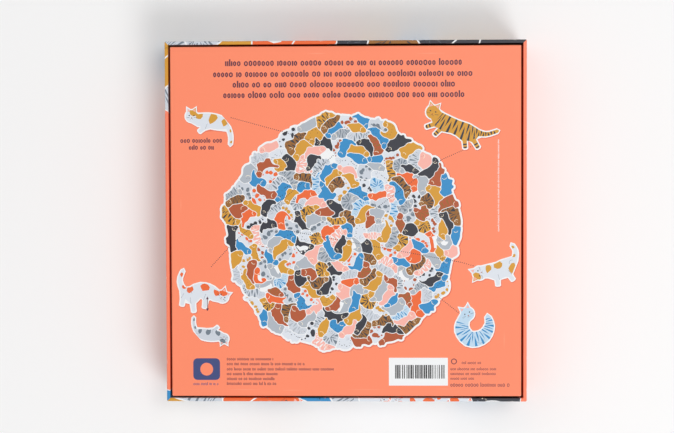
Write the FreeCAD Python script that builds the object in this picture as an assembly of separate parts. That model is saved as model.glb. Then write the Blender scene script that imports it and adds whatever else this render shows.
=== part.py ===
import FreeCAD, Part
import math
import os
import random

# A square boxed jigsaw puzzle lying on the front of its lid. The lid is a shallow box open upwards;
# the tray sits inside it upside down, so the tray's printed back is on top. A bag of 300 shaped
# pieces lies on the inside of the lid. Units are millimetres. The origin is the centre of the lid's
# front face, on the surface it rests on; +Z points at the tray's back, +Y at the top of the print.

V = FreeCAD.Vector

# Overall size
LID_SIDE = 256.0
BOX_HEIGHT = 48.0
TRAY_PROUD = 0.8            # the tray's back stands this far above the lid's rim
PLAY = 1.5                  # gap between lid and tray, each side
TRAY_LIFTED_OFF_FLOOR = 0.05

# Board and paper
BOARD = 1.8                 # grey board
PAPER = 0.3                 # printed paper with its glue
TURN_IN = 18.0              # depth of the paper folded inside over the rim
BOARD_EDGE = 0.6            # rounding of the board's folded edges
PAPER_EDGE = BOARD_EDGE + PAPER
RIM_OUTER_EDGE = 0.6
RIM_INNER_EDGE = 0.28
CORNER_SLIT = 0.15          # gap where two board walls meet
OVERRUN = 1.0               # how far a cutting block runs past what it cuts
SAME_PLACE = 0.01           # edges within this of a plane are taken to lie in it

# Corner stays: paper tape round the outside of each board corner, under the printed paper
TAPE = 0.12
TAPE_LEG = 14.0
TAPE_END_GAP = 3.0

LID_HEIGHT = BOX_HEIGHT - TRAY_PROUD
LID_FLOOR = PAPER + BOARD
RIM = BOARD + 2 * PAPER
TRAY_SIDE = LID_SIDE - 2 * RIM - 2 * PLAY
TRAY_HEIGHT = BOX_HEIGHT - LID_FLOOR - TRAY_LIFTED_OFF_FLOOR

# Bag of clear film, as nested square rings: half width and height above the bag's underside
FILM = 0.15
FILM_ON_SLOPE = 1.2 * FILM  # level distance through the film where its sides slope
BAG_UNDERSIDE = LID_FLOOR + 0.2
BAG_RINGS = ((107.0, 0.0), (112.0, 14.0), (96.0, 33.5))
SEAL_WIDTH = 6.0
SEAL_LENGTH = 216.0
SEAL_THICKNESS = 0.3

# Puzzle pieces
PIECE_THICKNESS = 1.9
PIECE_SCALES = (0.9, 1.0, 1.1)
CATS_IN_ALL = 299
FACE_DOWN_SHARE = 0.35
SPINE_STEPS = 16            # outline points taken along each flank
HEAD_STEPS = 12             # outline points taken round the head
HEAD_ARC = 118.0            # the head's outline runs this far either side of its heading, degrees
EAR_HALF_ANGLE = 21.0
EAR_LENGTH = 1.62           # ear tip from the head's centre, in head radii
DOG_EAR_LENGTH = 1.25
SNOUT_ANGLE = 24.0
EAR_MARGIN = 5.0            # no outline point of the head comes this near an ear, degrees
LEG_MARGIN = 0.35           # nor one of the belly this near a leg, in steps along the spine
LEG_ORDER = 1e-4            # keeps the points of one leg in order along the belly
LEG_REACH = 0.8
LEG_ROOT = 0.86             # where a leg starts, as a share of the body's half width
HIDDEN = 0.06               # a point this far inside the body is not part of the outline
MIN_POINT_GAP = 0.7

# Each pose: the spine runs from tail tip to neck as (x, y, half width), the head is
# (x, y, radius), a leg is (share of the spine, direction in degrees, length, width), and
# the ears are angles from the head's heading.
CAT_POSES = {
    "walking": {
        "spine": ((-25, 10, 1.1), (-20, 4.5, 1.3), (-14, 2.5, 2.4), (-9, 1, 5.4), (0, 0.5, 5.6),
                  (8, 1, 5.0), (12.5, 3, 3.9)),
        "head": (16.5, 6, 4.7),
        "legs": ((0.43, -96, 8, 3), (0.56, -82, 8, 3), (0.78, -98, 8, 3), (0.90, -80, 8, 3)),
        "ears": (28, 84)},
    "sitting": {
        "spine": ((15, -3, 1.2), (15.5, -8, 1.4), (10, -12, 1.8), (2, -9.5, 6.0), (-1, -3, 7.2),
                  (0, 4, 5.0)),
        "head": (0, 9.5, 5.2),
        "legs": (),
        "ears": (38, -38)},
    "curled": {
        "spine": ((9.5, -7, 1.8), (3, -10.5, 3.4), (-6, -8.5, 5.0), (-11, 0, 5.6), (-6.5, 8, 5.2),
                  (0, 9.5, 4.4)),
        "head": (6.5, 8, 4.9),
        "legs": (),
        "ears": (30, 85)},
    "loaf": {
        "spine": ((-19, -5.5, 1.3), (-14, -4, 2.8), (-8, 0, 7.0), (0, 1, 8.0), (6.5, 2, 6.4)),
        "head": (11.5, 5, 5.0),
        "legs": (),
        "ears": (22, 78)},
    "stretching": {
        "spine": ((-19, 15, 1.1), (-18.5, 9, 1.4), (-14, 5, 2.4), (-9, 2.5, 5.6), (0, -0.5, 4.9),
                  (8, -3, 4.2), (12, -3.5, 3.6)),
        "head": (16, -2.5, 4.5),
        "legs": ((0.42, -94, 8.5, 3.2), (0.55, -80, 8, 3), (0.83, -48, 10, 2.8)),
        "ears": (46, 100)},
    "running": {
        "spine": ((-27, 7, 1.1), (-21, 3, 1.3), (-15, 2, 2.2), (-9, 1, 4.9), (0, 1.5, 4.8),
                  (9, 3, 4.6), (13, 4.5, 3.8)),
        "head": (17, 6.5, 4.4),
        "legs": ((0.43, -138, 10, 3.0), (0.53, -112, 9, 2.8), (0.80, -62, 9, 2.8),
                 (0.90, -36, 9.5, 2.8)),
        "ears": (34, 88)},
    "arched": {
        "spine": ((-14, 19, 1.1), (-16.5, 12, 1.4), (-14, 5, 2.2), (-9, 1.5, 4.6), (-2, 4.5, 5.2),
                  (5, 3.5, 4.9), (10, 0.5, 3.9)),
        "head": (14.5, 0, 4.4),
        "legs": ((0.41, -100, 9, 3), (0.52, -84, 11, 3), (0.80, -98, 10, 3)),
        "ears": (28, 80)},
    "lying": {
        "spine": ((-21, -15, 1.2), (-20.5, -8, 1.4), (-17, -1, 2.0), (-11, 1.5, 5.4), (-1, 2.5, 5.8),
                  (8, 2, 4.8)),
        "head": (13.5, 4.5, 4.9),
        "legs": ((0.84, -46, 9, 3.2),),
        "ears": (30, 86)},
    "upright": {
        "spine": ((-17, -14, 1.2), (-12, -16, 1.5), (-5, -14, 2.4), (-1, -8, 6.0), (1, 0, 5.6),
                  (0, 7, 4.2)),
        "head": (1, 12.5, 4.9),
        "legs": ((0.62, -28, 7, 3), (0.80, 2, 7.5, 3)),
        "ears": (36, -36)},
    "sprawled": {
        "spine": ((-23, 2, 1.2), (-18, -2, 1.5), (-13, -2.5, 2.6), (-7, -1, 5.6), (2, 0.5, 5.8),
                  (9, 3, 4.4)),
        "head": (14, 7, 4.8),
        "legs": ((0.42, -120, 6.5, 3.2), (0.86, -58, 7.5, 3.2)),
        "ears": (26, 80)},
}
DOG_POSE = {
    "spine": ((-22, 13, 1.3), (-17.5, 8, 1.7), (-12, 3, 3.4), (-8, 1, 5.4), (0, 0.5, 5.6),
              (8, 2, 5.2), (12, 6, 4.2)),
    "head": (15.5, 10, 4.8),
    "legs": ((0.42, -96, 9, 3.4), (0.54, -84, 9, 3.4), (0.76, -96, 9, 3.4), (0.87, -84, 9, 3.4)),
    "ears": (95,),
    "snout": 5.5,
}
# One leg's outline, as shares of its length and of its half width
LEG_PROFILE = ((0.3, 1.0), (0.62, 0.92), (0.9, 0.9), (1.0, 0.45), (1.0, -0.45), (0.9, -0.9),
               (0.62, -0.92), (0.3, -1.0))

# The heap: each piece is dropped on those below and tilts until it rests as low as it can
HEAP_SEED = 29
HEAP_CELL = 1.5             # spacing of the height grid
HEAP_TURNS = 10             # ways round tried for each piece
HEAP_TRIES = 160            # places tried for each way round; the lowest of all is taken
HEAP_MOUND = 0.03           # how much lower the heap is towards its edges, mm per mm
HEAP_GAP = 0.3              # clear height kept between a piece and those below it
HEAP_TO_FILM = 1.5          # clear width kept between a piece and the film beside it
MAX_SLOPE = 0.10            # steepest tilt of a piece, rise over run
TILTED_SHARE = 0.25         # pieces that are caught at a tilt instead of lying as low as they can
FIRST_TILT = MAX_SLOPE / 2  # tilts are tried in steps that halve from this
LAST_TILT = MAX_SLOPE / 60  # down to this
LOWER_BY = 1e-6             # a tilt is kept only if it lowers the piece by more than this
HEAP_FLOOR = BAG_UNDERSIDE + FILM + 0.1


# ---------------------------------------------------------------- lid and tray

def square_block(half, bottom, top):
    return Part.makeBox(2 * half, 2 * half, top - bottom, V(-half, -half, bottom))


def rounded_block(half, bottom, top, radius):
    """Square block with its upright edges and its lower edges rounded."""
    block = square_block(half, bottom, top)
    edges = []
    for edge in block.Edges:
        box = edge.BoundBox
        upright = box.ZLength > SAME_PLACE
        lower = box.ZMax < bottom + SAME_PLACE
        if upright or lower:
            edges.append(edge)
    return block.makeFillet(radius, edges)


def corner_slits(inner_half, outer_half, floor, top):
    """Thin blocks that part the walls at the four corners."""
    length = outer_half + OVERRUN - inner_half
    slits = []
    for sx in (-1, 1):
        for sy in (-1, 1):
            x = sx * (inner_half - CORNER_SLIT / 2)
            y = sy * (inner_half + outer_half + OVERRUN) / 2
            corner = V(x - CORNER_SLIT / 2, y - length / 2, floor)
            slits.append(Part.makeBox(CORNER_SLIT, length, top - floor + OVERRUN, corner))
    return slits


def reach_in_plan(edge):
    """How far an edge reaches from the box's axis in x or y."""
    box = edge.BoundBox
    return max(abs(box.XMin), abs(box.XMax), abs(box.YMin), abs(box.YMax))


def round_rim(wrap, half, inner_half, height):
    """Rounds the outer and inner edges of the paper where it folds over the rim."""
    outer = []
    for edge in wrap.Edges:
        if edge.BoundBox.ZMin > height - SAME_PLACE and reach_in_plan(edge) > half - SAME_PLACE:
            outer.append(edge)
    wrap = wrap.makeFillet(RIM_OUTER_EDGE, outer)
    inner = []
    for edge in wrap.Edges:
        if edge.BoundBox.ZMin > height - SAME_PLACE and reach_in_plan(edge) < inner_half + SAME_PLACE:
            inner.append(edge)
    return wrap.makeFillet(RIM_INNER_EDGE, inner)


def covered_box(side, height):
    """Board, paper wrap and four corner stays of a box standing on its panel, open upwards."""
    half = side / 2
    board_half = half - PAPER
    cavity_half = board_half - BOARD
    board_top = height - PAPER
    floor = PAPER + BOARD

    core = rounded_block(board_half, PAPER, board_top, BOARD_EDGE)
    core = core.cut(square_block(cavity_half, floor, board_top + OVERRUN))
    board = core.cut(corner_slits(cavity_half, board_half, floor, board_top))

    sleeve = rounded_block(board_half + TAPE, PAPER - TAPE, height, BOARD_EDGE + TAPE)
    sleeve = sleeve.cut(rounded_block(board_half, PAPER, height + OVERRUN, BOARD_EDGE))
    stays = []
    for sx, sy in ((-1, 1), (1, 1), (1, -1), (-1, -1)):
        x = sx * (half - TAPE_LEG / 2)
        y = sy * (half - TAPE_LEG / 2)
        corner = V(x - TAPE_LEG / 2, y - TAPE_LEG / 2, floor + TAPE_END_GAP)
        zone = Part.makeBox(TAPE_LEG, TAPE_LEG, board_top - floor - 2 * TAPE_END_GAP, corner)
        stays.append(sleeve.common(zone))

    wrap = rounded_block(half, 0, height, PAPER_EDGE)
    wrap = wrap.cut(square_block(cavity_half - PAPER, height - TURN_IN, height + OVERRUN))
    wrap = wrap.cut(square_block(cavity_half, floor, height - TURN_IN))
    wrap = round_rim(wrap, half, cavity_half - PAPER, height)
    wrap = wrap.cut([core] + stays)
    return board, wrap, stays


def turned_over(shape):
    """Stands a box that was built on its panel upside down inside the lid."""
    shape = shape.copy()
    shape.rotate(V(0, 0, 0), V(1, 0, 0), 180)
    shape.translate(V(0, 0, BOX_HEIGHT))
    return shape


# ---------------------------------------------------------------- bag

def ring_solid(rings):
    """Closed solid through square rings given as (half width, height)."""
    loops = []
    for half, z in rings:
        loops.append([V(-half, -half, z), V(half, -half, z), V(half, half, z), V(-half, half, z)])
    faces = [Part.Face(Part.makePolygon(loop + loop[:1])) for loop in (loops[0], loops[-1])]
    for lower, upper in zip(loops, loops[1:]):
        for i in range(4):
            j = (i + 1) % 4
            faces.append(Part.Face(Part.makePolygon([lower[i], lower[j], upper[j], upper[i], lower[i]])))
    return Part.makeSolid(Part.makeShell(faces))


def film_bag():
    lowest = BAG_RINGS[0][1]
    highest = BAG_RINGS[-1][1]
    outer = [(half, BAG_UNDERSIDE + z) for half, z in BAG_RINGS]
    inner = []
    for half, z in BAG_RINGS:
        inset = FILM if z == lowest else -FILM if z == highest else 0
        inner.append((half - FILM_ON_SLOPE, BAG_UNDERSIDE + z + inset))
    bag = ring_solid(outer).cut(ring_solid(inner))
    seam_half, seam_height = BAG_RINGS[1]
    seam_z = BAG_UNDERSIDE + seam_height - SEAL_THICKNESS / 2
    for side in (-1, 1):
        start = seam_half - FILM / 2
        x = start if side > 0 else -start - SEAL_WIDTH
        bag = bag.fuse(Part.makeBox(SEAL_WIDTH, SEAL_LENGTH, SEAL_THICKNESS, V(x, -SEAL_LENGTH / 2, seam_z)))
    return bag


# ---------------------------------------------------------------- outline of one piece

def along_spine(spine, share):
    """Point, half width and heading at a share of the way along the spine (Catmull-Rom)."""
    last = len(spine) - 1
    t = min(share * last, last - 1e-9)
    i = int(t)
    f = t - i
    knots = [spine[max(0, min(last, i + step))] for step in (-1, 0, 1, 2)]
    value, slope = [], []
    for a, b, c, d in zip(*knots):
        linear = c - a
        square = 2 * a - 5 * b + 4 * c - d
        cube = 3 * b - a - 3 * c + d
        value.append(0.5 * (2 * b + linear * f + square * f * f + cube * f ** 3))
        slope.append(0.5 * (linear + 2 * square * f + 3 * cube * f * f))
    return value[0], value[1], value[2], math.atan2(slope[1], slope[0])


def leg_points(spine, leg):
    """Outline of one leg, in the order met when walking the belly from tail to neck."""
    share, direction, length, width = leg
    x, y, r, heading = along_spine(spine, share)
    angle = math.radians(direction)
    out = (math.cos(angle), math.sin(angle))
    across = (-out[1], out[0])
    root = (x + LEG_ROOT * r * math.sin(heading), y - LEG_ROOT * r * math.cos(heading))
    backwards = across[0] * math.cos(heading) + across[1] * math.sin(heading) > 0
    turn = -1 if backwards else 1
    points = []
    for reach, side in LEG_PROFILE:
        forward = reach * length * LEG_REACH
        sideways = turn * side * width / 2
        points.append((root[0] + forward * out[0] + sideways * across[0],
                       root[1] + forward * out[1] + sideways * across[1]))
    return points


def head_points(pose):
    """Outline round the head as (x, y, whether it is a sharp corner)."""
    x, y, r = pose["head"]
    neck_x, neck_y = along_spine(pose["spine"], 1.0)[:2]
    heading = math.atan2(y - neck_y, x - neck_x)
    snout = pose.get("snout", 0)
    ear_length = DOG_EAR_LENGTH if snout else EAR_LENGTH
    marks = []
    for i in range(HEAD_STEPS + 1):
        angle = -HEAD_ARC + 2 * HEAD_ARC * i / HEAD_STEPS
        if all(abs(angle - ear) > EAR_HALF_ANGLE + EAR_MARGIN for ear in pose["ears"]):
            marks.append((angle, r + snout * math.exp(-(angle / SNOUT_ANGLE) ** 2), False))
    for ear in pose["ears"]:
        marks.append((ear - EAR_HALF_ANGLE, r, True))
        marks.append((ear, r * ear_length, True))
        marks.append((ear + EAR_HALF_ANGLE, r, True))
    points = []
    for angle, reach, corner in sorted(marks):
        turned = heading + math.radians(angle)
        points.append((x + reach * math.cos(turned), y + reach * math.sin(turned), corner))
    return points


def piece_outline(pose):
    """Closed outline of one piece as (x, y, whether it is a sharp corner)."""
    spine = pose["spine"]
    stations = [(i / SPINE_STEPS, along_spine(spine, i / SPINE_STEPS)) for i in range(SPINE_STEPS + 1)]
    discs = [station[:3] for _, station in stations] + [pose["head"]]
    spine_length = sum(math.dist(a[:2], b[:2]) for a, b in zip(spine, spine[1:]))

    def in_sight(x, y):
        return all(math.dist((x, y), disc[:2]) > disc[2] - HIDDEN for disc in discs)

    belly, back = [], []
    for share, (x, y, r, heading) in stations:
        dx, dy = r * math.sin(heading), r * math.cos(heading)
        clear_of_legs = True
        for leg in pose["legs"]:
            margin = 0.5 * leg[3] / spine_length + LEG_MARGIN / SPINE_STEPS
            if abs(share - leg[0]) <= margin:
                clear_of_legs = False
        if clear_of_legs and in_sight(x + dx, y - dy):
            belly.append((share, x + dx, y - dy))
        if in_sight(x - dx, y + dy):
            back.append((x - dx, y + dy, False))
    for leg in pose["legs"]:
        points = [p for p in leg_points(spine, leg) if in_sight(*p)]
        for order, (x, y) in enumerate(points):
            belly.append((leg[0] + LEG_ORDER * (order - len(points) / 2), x, y))
    belly = [(x, y, False) for _, x, y in sorted(belly)]

    x, y, r, heading = stations[0][1]
    tail_tip = (x - r * math.cos(heading), y - r * math.sin(heading), False)
    loop = [tail_tip] + belly + head_points(pose) + back[::-1]
    return without_crowding(loop)


def without_crowding(loop):
    """Drops points that come too close after the one before, keeping the sharp corners."""
    kept = []
    for point in loop:
        if kept and math.dist(point[:2], kept[-1][:2]) < MIN_POINT_GAP:
            if not point[2]:
                continue
            if not kept[-1][2]:
                kept.pop()
        kept.append(point)
    return kept


def piece_solid(loop, scale, mirrored):
    flip = -1 if mirrored else 1
    corners = [V(x * scale, flip * y * scale, 0) for x, y, _ in loop]
    face = Part.Face(Part.makePolygon(corners + corners[:1]))
    return face.extrude(V(0, 0, PIECE_THICKNESS))


# ---------------------------------------------------------------- the heap

def footprint_cells(polygon):
    """Grid cells covered by a closed polygon, spread outwards by one cell."""
    low = math.floor(min(y for _, y in polygon) / HEAP_CELL)
    high = math.ceil(max(y for _, y in polygon) / HEAP_CELL)
    cells = set()
    for row in range(low, high + 1):
        y = row * HEAP_CELL
        crossings = []
        for (x0, y0), (x1, y1) in zip(polygon, polygon[1:] + polygon[:1]):
            if (y0 > y) != (y1 > y):
                crossings.append(x0 + (y - y0) * (x1 - x0) / (y1 - y0))
        crossings.sort()
        for left, right in zip(crossings[::2], crossings[1::2]):
            for column in range(math.ceil(left / HEAP_CELL), math.floor(right / HEAP_CELL) + 1):
                cells.add((column, row))
    for (x0, y0), (x1, y1) in zip(polygon, polygon[1:] + polygon[:1]):
        steps = 1 + int(math.dist((x0, y0), (x1, y1)) / HEAP_CELL)
        for i in range(steps):
            column = round((x0 + (x1 - x0) * i / steps) / HEAP_CELL)
            row = round((y0 + (y1 - y0) * i / steps) / HEAP_CELL)
            cells.update((column + dc, row + dr) for dc in (-1, 0, 1) for dr in (-1, 0, 1))
    return cells


def resting_plane(cells, heights, cx, cy, rng):
    """A plane clear of the heights: its slopes in x and y, and its height at (cx, cy)."""
    samples = [(c * HEAP_CELL - cx, r * HEAP_CELL - cy, heights.get((c, r), HEAP_FLOOR)) for c, r in cells]

    def height(a, b):
        return max(h - a * x - b * y for x, y, h in samples)

    if rng.random() < TILTED_SHARE:
        slope, way = rng.uniform(0, MAX_SLOPE), rng.uniform(0, 2 * math.pi)
        a, b = slope * math.cos(way), slope * math.sin(way)
        return a, b, height(a, b)
    a = b = 0.0
    best = height(a, b)
    step = FIRST_TILT
    while step > LAST_TILT:
        moved = False
        for da, db in ((step, 0), (-step, 0), (0, step), (0, -step)):
            if math.hypot(a + da, b + db) > MAX_SLOPE:
                continue
            trial = height(a + da, b + db)
            if trial < best - LOWER_BY:
                a, b, best, moved = a + da, b + db, trial, True
        if not moved:
            step /= 2
    return a, b, best


def turned_footprint(polygon, turn):
    """Cells under a piece turned about its own origin, and how far it reaches in x and y."""
    cos, sin = math.cos(turn), math.sin(turn)
    turned = [(x * cos - y * sin, x * sin + y * cos) for x, y in polygon]
    reach_x = max(abs(x) for x, _ in turned)
    reach_y = max(abs(y) for _, y in turned)
    return sorted(footprint_cells(turned)), reach_x, reach_y


def room_at(z):
    """Half width inside the bag, less the clearance, for a piece lying at this height."""
    for (half_a, z_a), (half_b, z_b) in zip(BAG_RINGS, BAG_RINGS[1:]):
        if z - BAG_UNDERSIDE <= z_b:
            share = (z - BAG_UNDERSIDE - z_a) / (z_b - z_a)
            return half_a + share * (half_b - half_a) - HEAP_TO_FILM
    return 0.0


def heap_placements(outlines, rng):
    """Where each piece comes to rest, as (slope x, slope y, x, y, z, turn)."""
    heights = {}
    placements = []
    widest = int(BAG_RINGS[1][0] / HEAP_CELL)
    for polygon in outlines:
        best = None
        for _ in range(HEAP_TURNS):
            turn = rng.uniform(0, 2 * math.pi)
            cells, reach_x, reach_y = turned_footprint(polygon, turn)
            for _ in range(HEAP_TRIES):
                cx, cy = rng.randint(-widest, widest), rng.randint(-widest, widest)
                spread_x, spread_y = abs(cx) * HEAP_CELL, abs(cy) * HEAP_CELL
                handicap = HEAP_MOUND * max(spread_x, spread_y)
                base = HEAP_FLOOR
                for c, r in cells:
                    base = max(base, heights.get((c + cx, r + cy), HEAP_FLOOR))
                    if best is not None and base + handicap >= best[0]:
                        break
                else:
                    room = min(room_at(base), room_at(base + PIECE_THICKNESS + HEAP_GAP))
                    if max(spread_x + reach_x, spread_y + reach_y) < room:
                        best = (base + handicap, turn, cx, cy, cells)
        _, turn, cx, cy, cells = best
        cells = [(c + cx, r + cy) for c, r in cells]
        x, y = cx * HEAP_CELL, cy * HEAP_CELL
        a, b, base = resting_plane(cells, heights, x, y, rng)
        placements.append((a, b, x, y, base, turn))
        rise = PIECE_THICKNESS * math.sqrt(1 + a * a + b * b) + HEAP_GAP
        for c, r in cells:
            heights[c, r] = base + a * (c * HEAP_CELL - x) + b * (r * HEAP_CELL - y) + rise
    return placements


def placed(solid, placement):
    a, b, x, y, z, turn = placement
    tilt = FreeCAD.Rotation(V(0, 0, 1), V(-a, -b, 1))
    spin = FreeCAD.Rotation(V(0, 0, 1), math.degrees(turn))
    solid = solid.copy()
    solid.Placement = FreeCAD.Placement(V(x, y, z), tilt.multiply(spin))
    return solid


def puzzle_pieces():
    """Compound of every piece of each shape, keyed by node name."""
    rng = random.Random(HEAP_SEED)
    names = list(CAT_POSES)
    kinds = [names[i % len(names)] for i in range(CATS_IN_ALL)] + ["dog"]
    rng.shuffle(kinds)
    loops = {name: piece_outline(pose) for name, pose in CAT_POSES.items()}
    loops["dog"] = piece_outline(DOG_POSE)

    drawn, outlines = [], []
    for kind in kinds:
        scale = rng.choice(PIECE_SCALES)
        mirrored = rng.random() < FACE_DOWN_SHARE
        flip = -1 if mirrored else 1
        drawn.append((kind, scale, mirrored))
        outlines.append([(x * scale, flip * y * scale) for x, y, _ in loops[kind]])

    templates = {}
    solids = {}
    for key, placement in zip(drawn, heap_placements(outlines, rng)):
        if key not in templates:
            templates[key] = piece_solid(loops[key[0]], key[1], key[2])
        node = "puzzle_dog" if key[0] == "dog" else "cats_" + key[0]
        solids.setdefault(node, []).append(placed(templates[key], placement))
    return {node: Part.makeCompound(items) for node, items in solids.items()}


# ---------------------------------------------------------------- everything

def build():
    nodes = {}
    board, wrap, stays = covered_box(LID_SIDE, LID_HEIGHT)
    nodes["lid_board"] = board
    nodes["lid_wrap"] = wrap
    for number, stay in enumerate(stays, 1):
        nodes["lid_corner_stay_%d" % number] = stay

    board, wrap, stays = covered_box(TRAY_SIDE, TRAY_HEIGHT)
    nodes["tray_board"] = turned_over(board)
    nodes["tray_wrap"] = turned_over(wrap)
    for number, stay in enumerate(stays, 1):
        nodes["tray_corner_stay_%d" % number] = turned_over(stay)

    nodes["pieces_bag"] = film_bag()
    nodes.update(puzzle_pieces())
    return nodes


os.makedirs("parts", exist_ok=True)
for node, shape in build().items():
    shape.exportStep("parts/%s.step" % node)
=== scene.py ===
import math
import random

import bpy
import numpy as np
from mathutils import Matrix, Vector
from mathutils.geometry import delaunay_2d_cdt


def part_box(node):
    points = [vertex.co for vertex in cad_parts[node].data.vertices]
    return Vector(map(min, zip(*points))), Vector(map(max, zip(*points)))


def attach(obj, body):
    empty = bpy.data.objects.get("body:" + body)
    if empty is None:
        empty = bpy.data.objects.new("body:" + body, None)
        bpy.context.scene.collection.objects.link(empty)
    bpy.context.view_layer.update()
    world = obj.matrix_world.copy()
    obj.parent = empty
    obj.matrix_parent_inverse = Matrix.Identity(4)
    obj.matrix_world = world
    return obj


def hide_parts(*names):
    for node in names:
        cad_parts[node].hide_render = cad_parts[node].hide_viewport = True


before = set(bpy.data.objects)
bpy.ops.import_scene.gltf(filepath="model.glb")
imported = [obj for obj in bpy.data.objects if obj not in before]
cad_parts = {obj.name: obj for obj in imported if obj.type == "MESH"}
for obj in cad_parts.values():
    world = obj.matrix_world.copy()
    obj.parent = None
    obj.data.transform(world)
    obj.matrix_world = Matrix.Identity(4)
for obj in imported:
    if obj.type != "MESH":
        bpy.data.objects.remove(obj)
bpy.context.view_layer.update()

# The looks of a boxed jigsaw puzzle that lies on the front of its lid: printed covers folded from
# flat sheets, grey board, loose die-cut pieces and their bag of clear film.
# Sheets and pieces are drawn in millimetres and put into the scene in metres.

MM = 0.001
IN_MM = 1 / MM


def box_mm(node):
    return [corner * IN_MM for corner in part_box(node)]


LID_LOW, LID_HIGH = box_mm("lid_wrap")
TRAY_LOW, TRAY_HIGH = box_mm("tray_wrap")
LID_HALF, TRAY_HALF = LID_HIGH.x, TRAY_HIGH.x
PAPER = box_mm("lid_board")[0].z - LID_LOW.z
BOARD = 1.8
WALL = BOARD + 2 * PAPER
TURN_IN = 18.0
EDGE_RADIUS = 0.9           # where the cover folds from the panel to a wall
RIM_OUTER_RADIUS = 0.6
RIM_INNER_RADIUS = 0.28
ARC_STEPS = 5
PAPER_BACK = 0.27           # the cover's inner side lies this far behind its printed side


# ---- colours and materials

INKS = {
    "coral": (253, 138, 101), "coral_shade": (232, 116, 86), "coral_worn": (255, 176, 150),
    "paper_core": (236, 226, 216), "scuff": (255, 150, 116), "white": (240, 241, 242),
    "snow": (219, 224, 232), "cream": (251, 239, 214), "ochre": (212, 152, 44), "brown": (150, 98, 38),
    "rust": (176, 84, 44), "orange": (236, 102, 44), "charcoal": (46, 48, 58), "blue": (44, 138, 196),
    "pale_blue": (188, 214, 234), "grey": (174, 181, 190), "pale_grey": (203, 209, 218),
    "slate": (112, 124, 136), "pink": (246, 178, 166), "salmon": (250, 132, 98), "text": (88, 40, 62),
    "navy": (58, 70, 122), "black": (24, 22, 26),
}


def linear(rgb):
    """Linear colour from 8-bit screen values."""
    parts = [value / 255 for value in rgb]
    return (*[c / 12.92 if c <= 0.04045 else ((c + 0.055) / 1.055) ** 2.4 for c in parts], 1.0)


class Nodes:
    """A material's node tree with short ways to add and link nodes."""

    def __init__(self, name):
        self.material = bpy.data.materials.new(name)
        self.material.use_nodes = True
        self.tree = self.material.node_tree
        self.link = self.tree.links.new
        self.place = self.tree.nodes.new("ShaderNodeTexCoord").outputs["Object"]

    def after(self, source, kind, into, out, **settings):
        """The output of a new node that takes the source in at one of its sockets."""
        node = self.tree.nodes.new(kind)
        for key, value in settings.items():
            node.inputs[key.replace("_", " ")].default_value = value
        self.link(source, node.inputs[into])
        return node.outputs[out]

    def noise(self, scale, detail=3.0, stretch=None):
        place = self.place
        if stretch:
            place = self.after(place, "ShaderNodeMapping", "Vector", "Vector", Scale=stretch)
        return self.after(place, "ShaderNodeTexNoise", "Vector", "Fac", Scale=scale, Detail=detail,
                          Roughness=0.6)

    def between(self, source, low, high):
        return self.after(source, "ShaderNodeMapRange", "Value", "Result", To_Min=low, To_Max=high)

    def ramp(self, source, *stops):
        out = self.after(source, "ShaderNodeValToRGB", "Fac", "Color")
        for element, (position, colour) in zip(out.node.color_ramp.elements, stops):
            element.position, element.color = position, colour
        return out

    def shades(self, source, dark, light):
        return self.ramp(source, (0.3, linear(dark)), (0.7, linear(light)))

    def finish(self, *bumps, **sockets):
        """Gives the shader's sockets their values or sources and stacks its bumps, each a height
        source and a depth in metres, the deepest first. Returns the material."""
        shader = self.tree.nodes["Principled BSDF"].inputs
        for key, value in sockets.items():
            socket = shader[key.replace("_", " ")]
            if isinstance(value, bpy.types.NodeSocket):
                self.link(value, socket)
            else:
                socket.default_value = value
        normal = None
        for height, depth in bumps:
            before = normal
            normal = self.after(height, "ShaderNodeBump", "Height", "Normal", Distance=depth)
            if before:
                self.link(before, normal.node.inputs["Normal"])
        self.link(normal, shader["Normal"])
        return self.material


def ink_material(name):
    """Print under a thin matt laminate: paper fibre and slow waves of the board show in the gloss."""
    n = Nodes("ink_" + name)
    return n.finish((n.noise(9, 1.0), 0.0009), (n.noise(1400, 4.0), 0.000012),
                    Base_Color=linear(INKS[name]), Specular_IOR_Level=0.42, Coat_Weight=0.12,
                    Coat_Roughness=0.36, Roughness=n.between(n.noise(160, 5.0), 0.40, 0.56))


def fibre_material(name, dark, light, roughness, depth, *grain):
    """Paper or tape, with fibres in two shades."""
    n = Nodes(name)
    fibre = n.noise(*grain)
    return n.finish((fibre, depth), Roughness=roughness, Base_Color=n.shades(fibre, dark, light))


def board_material(name, dark, light, fleck):
    """Recycled board: grey pulp with darker and lighter fibres and a few flecks."""
    n = Nodes(name)
    pulp, flecks = n.noise(220, 8.0, (1, 1, 4)), n.noise(1600, 2.0)
    mask = n.ramp(flecks, (0.66, (0, 0, 0, 1)), (0.72, (1, 1, 1, 1)))
    mix = n.tree.nodes.new("ShaderNodeMix")
    mix.data_type = "RGBA"
    # This node has a set of sockets for each data type: 6 and 7 in and 2 out are its colours.
    n.link(mask, mix.inputs[0])
    n.link(n.shades(pulp, dark, light), mix.inputs[6])
    mix.inputs[7].default_value = linear(fleck)
    return n.finish((pulp, 0.00015), (flecks, 0.00003), Base_Color=mix.outputs[2],
                    Roughness=n.between(pulp, 0.82, 0.96))


def film_material():
    """Clear film: all of it that shows is what it mirrors, sharpest where it isn't creased."""
    n = Nodes("clear_film")
    creases = n.noise(45, 6.0)
    return n.finish((creases, 0.0012), (n.noise(300), 0.00008), Base_Color=linear((248, 251, 255)),
                    Metallic=1.0, Alpha=0.16, Roughness=n.between(creases, 0.04, 0.20))


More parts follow.
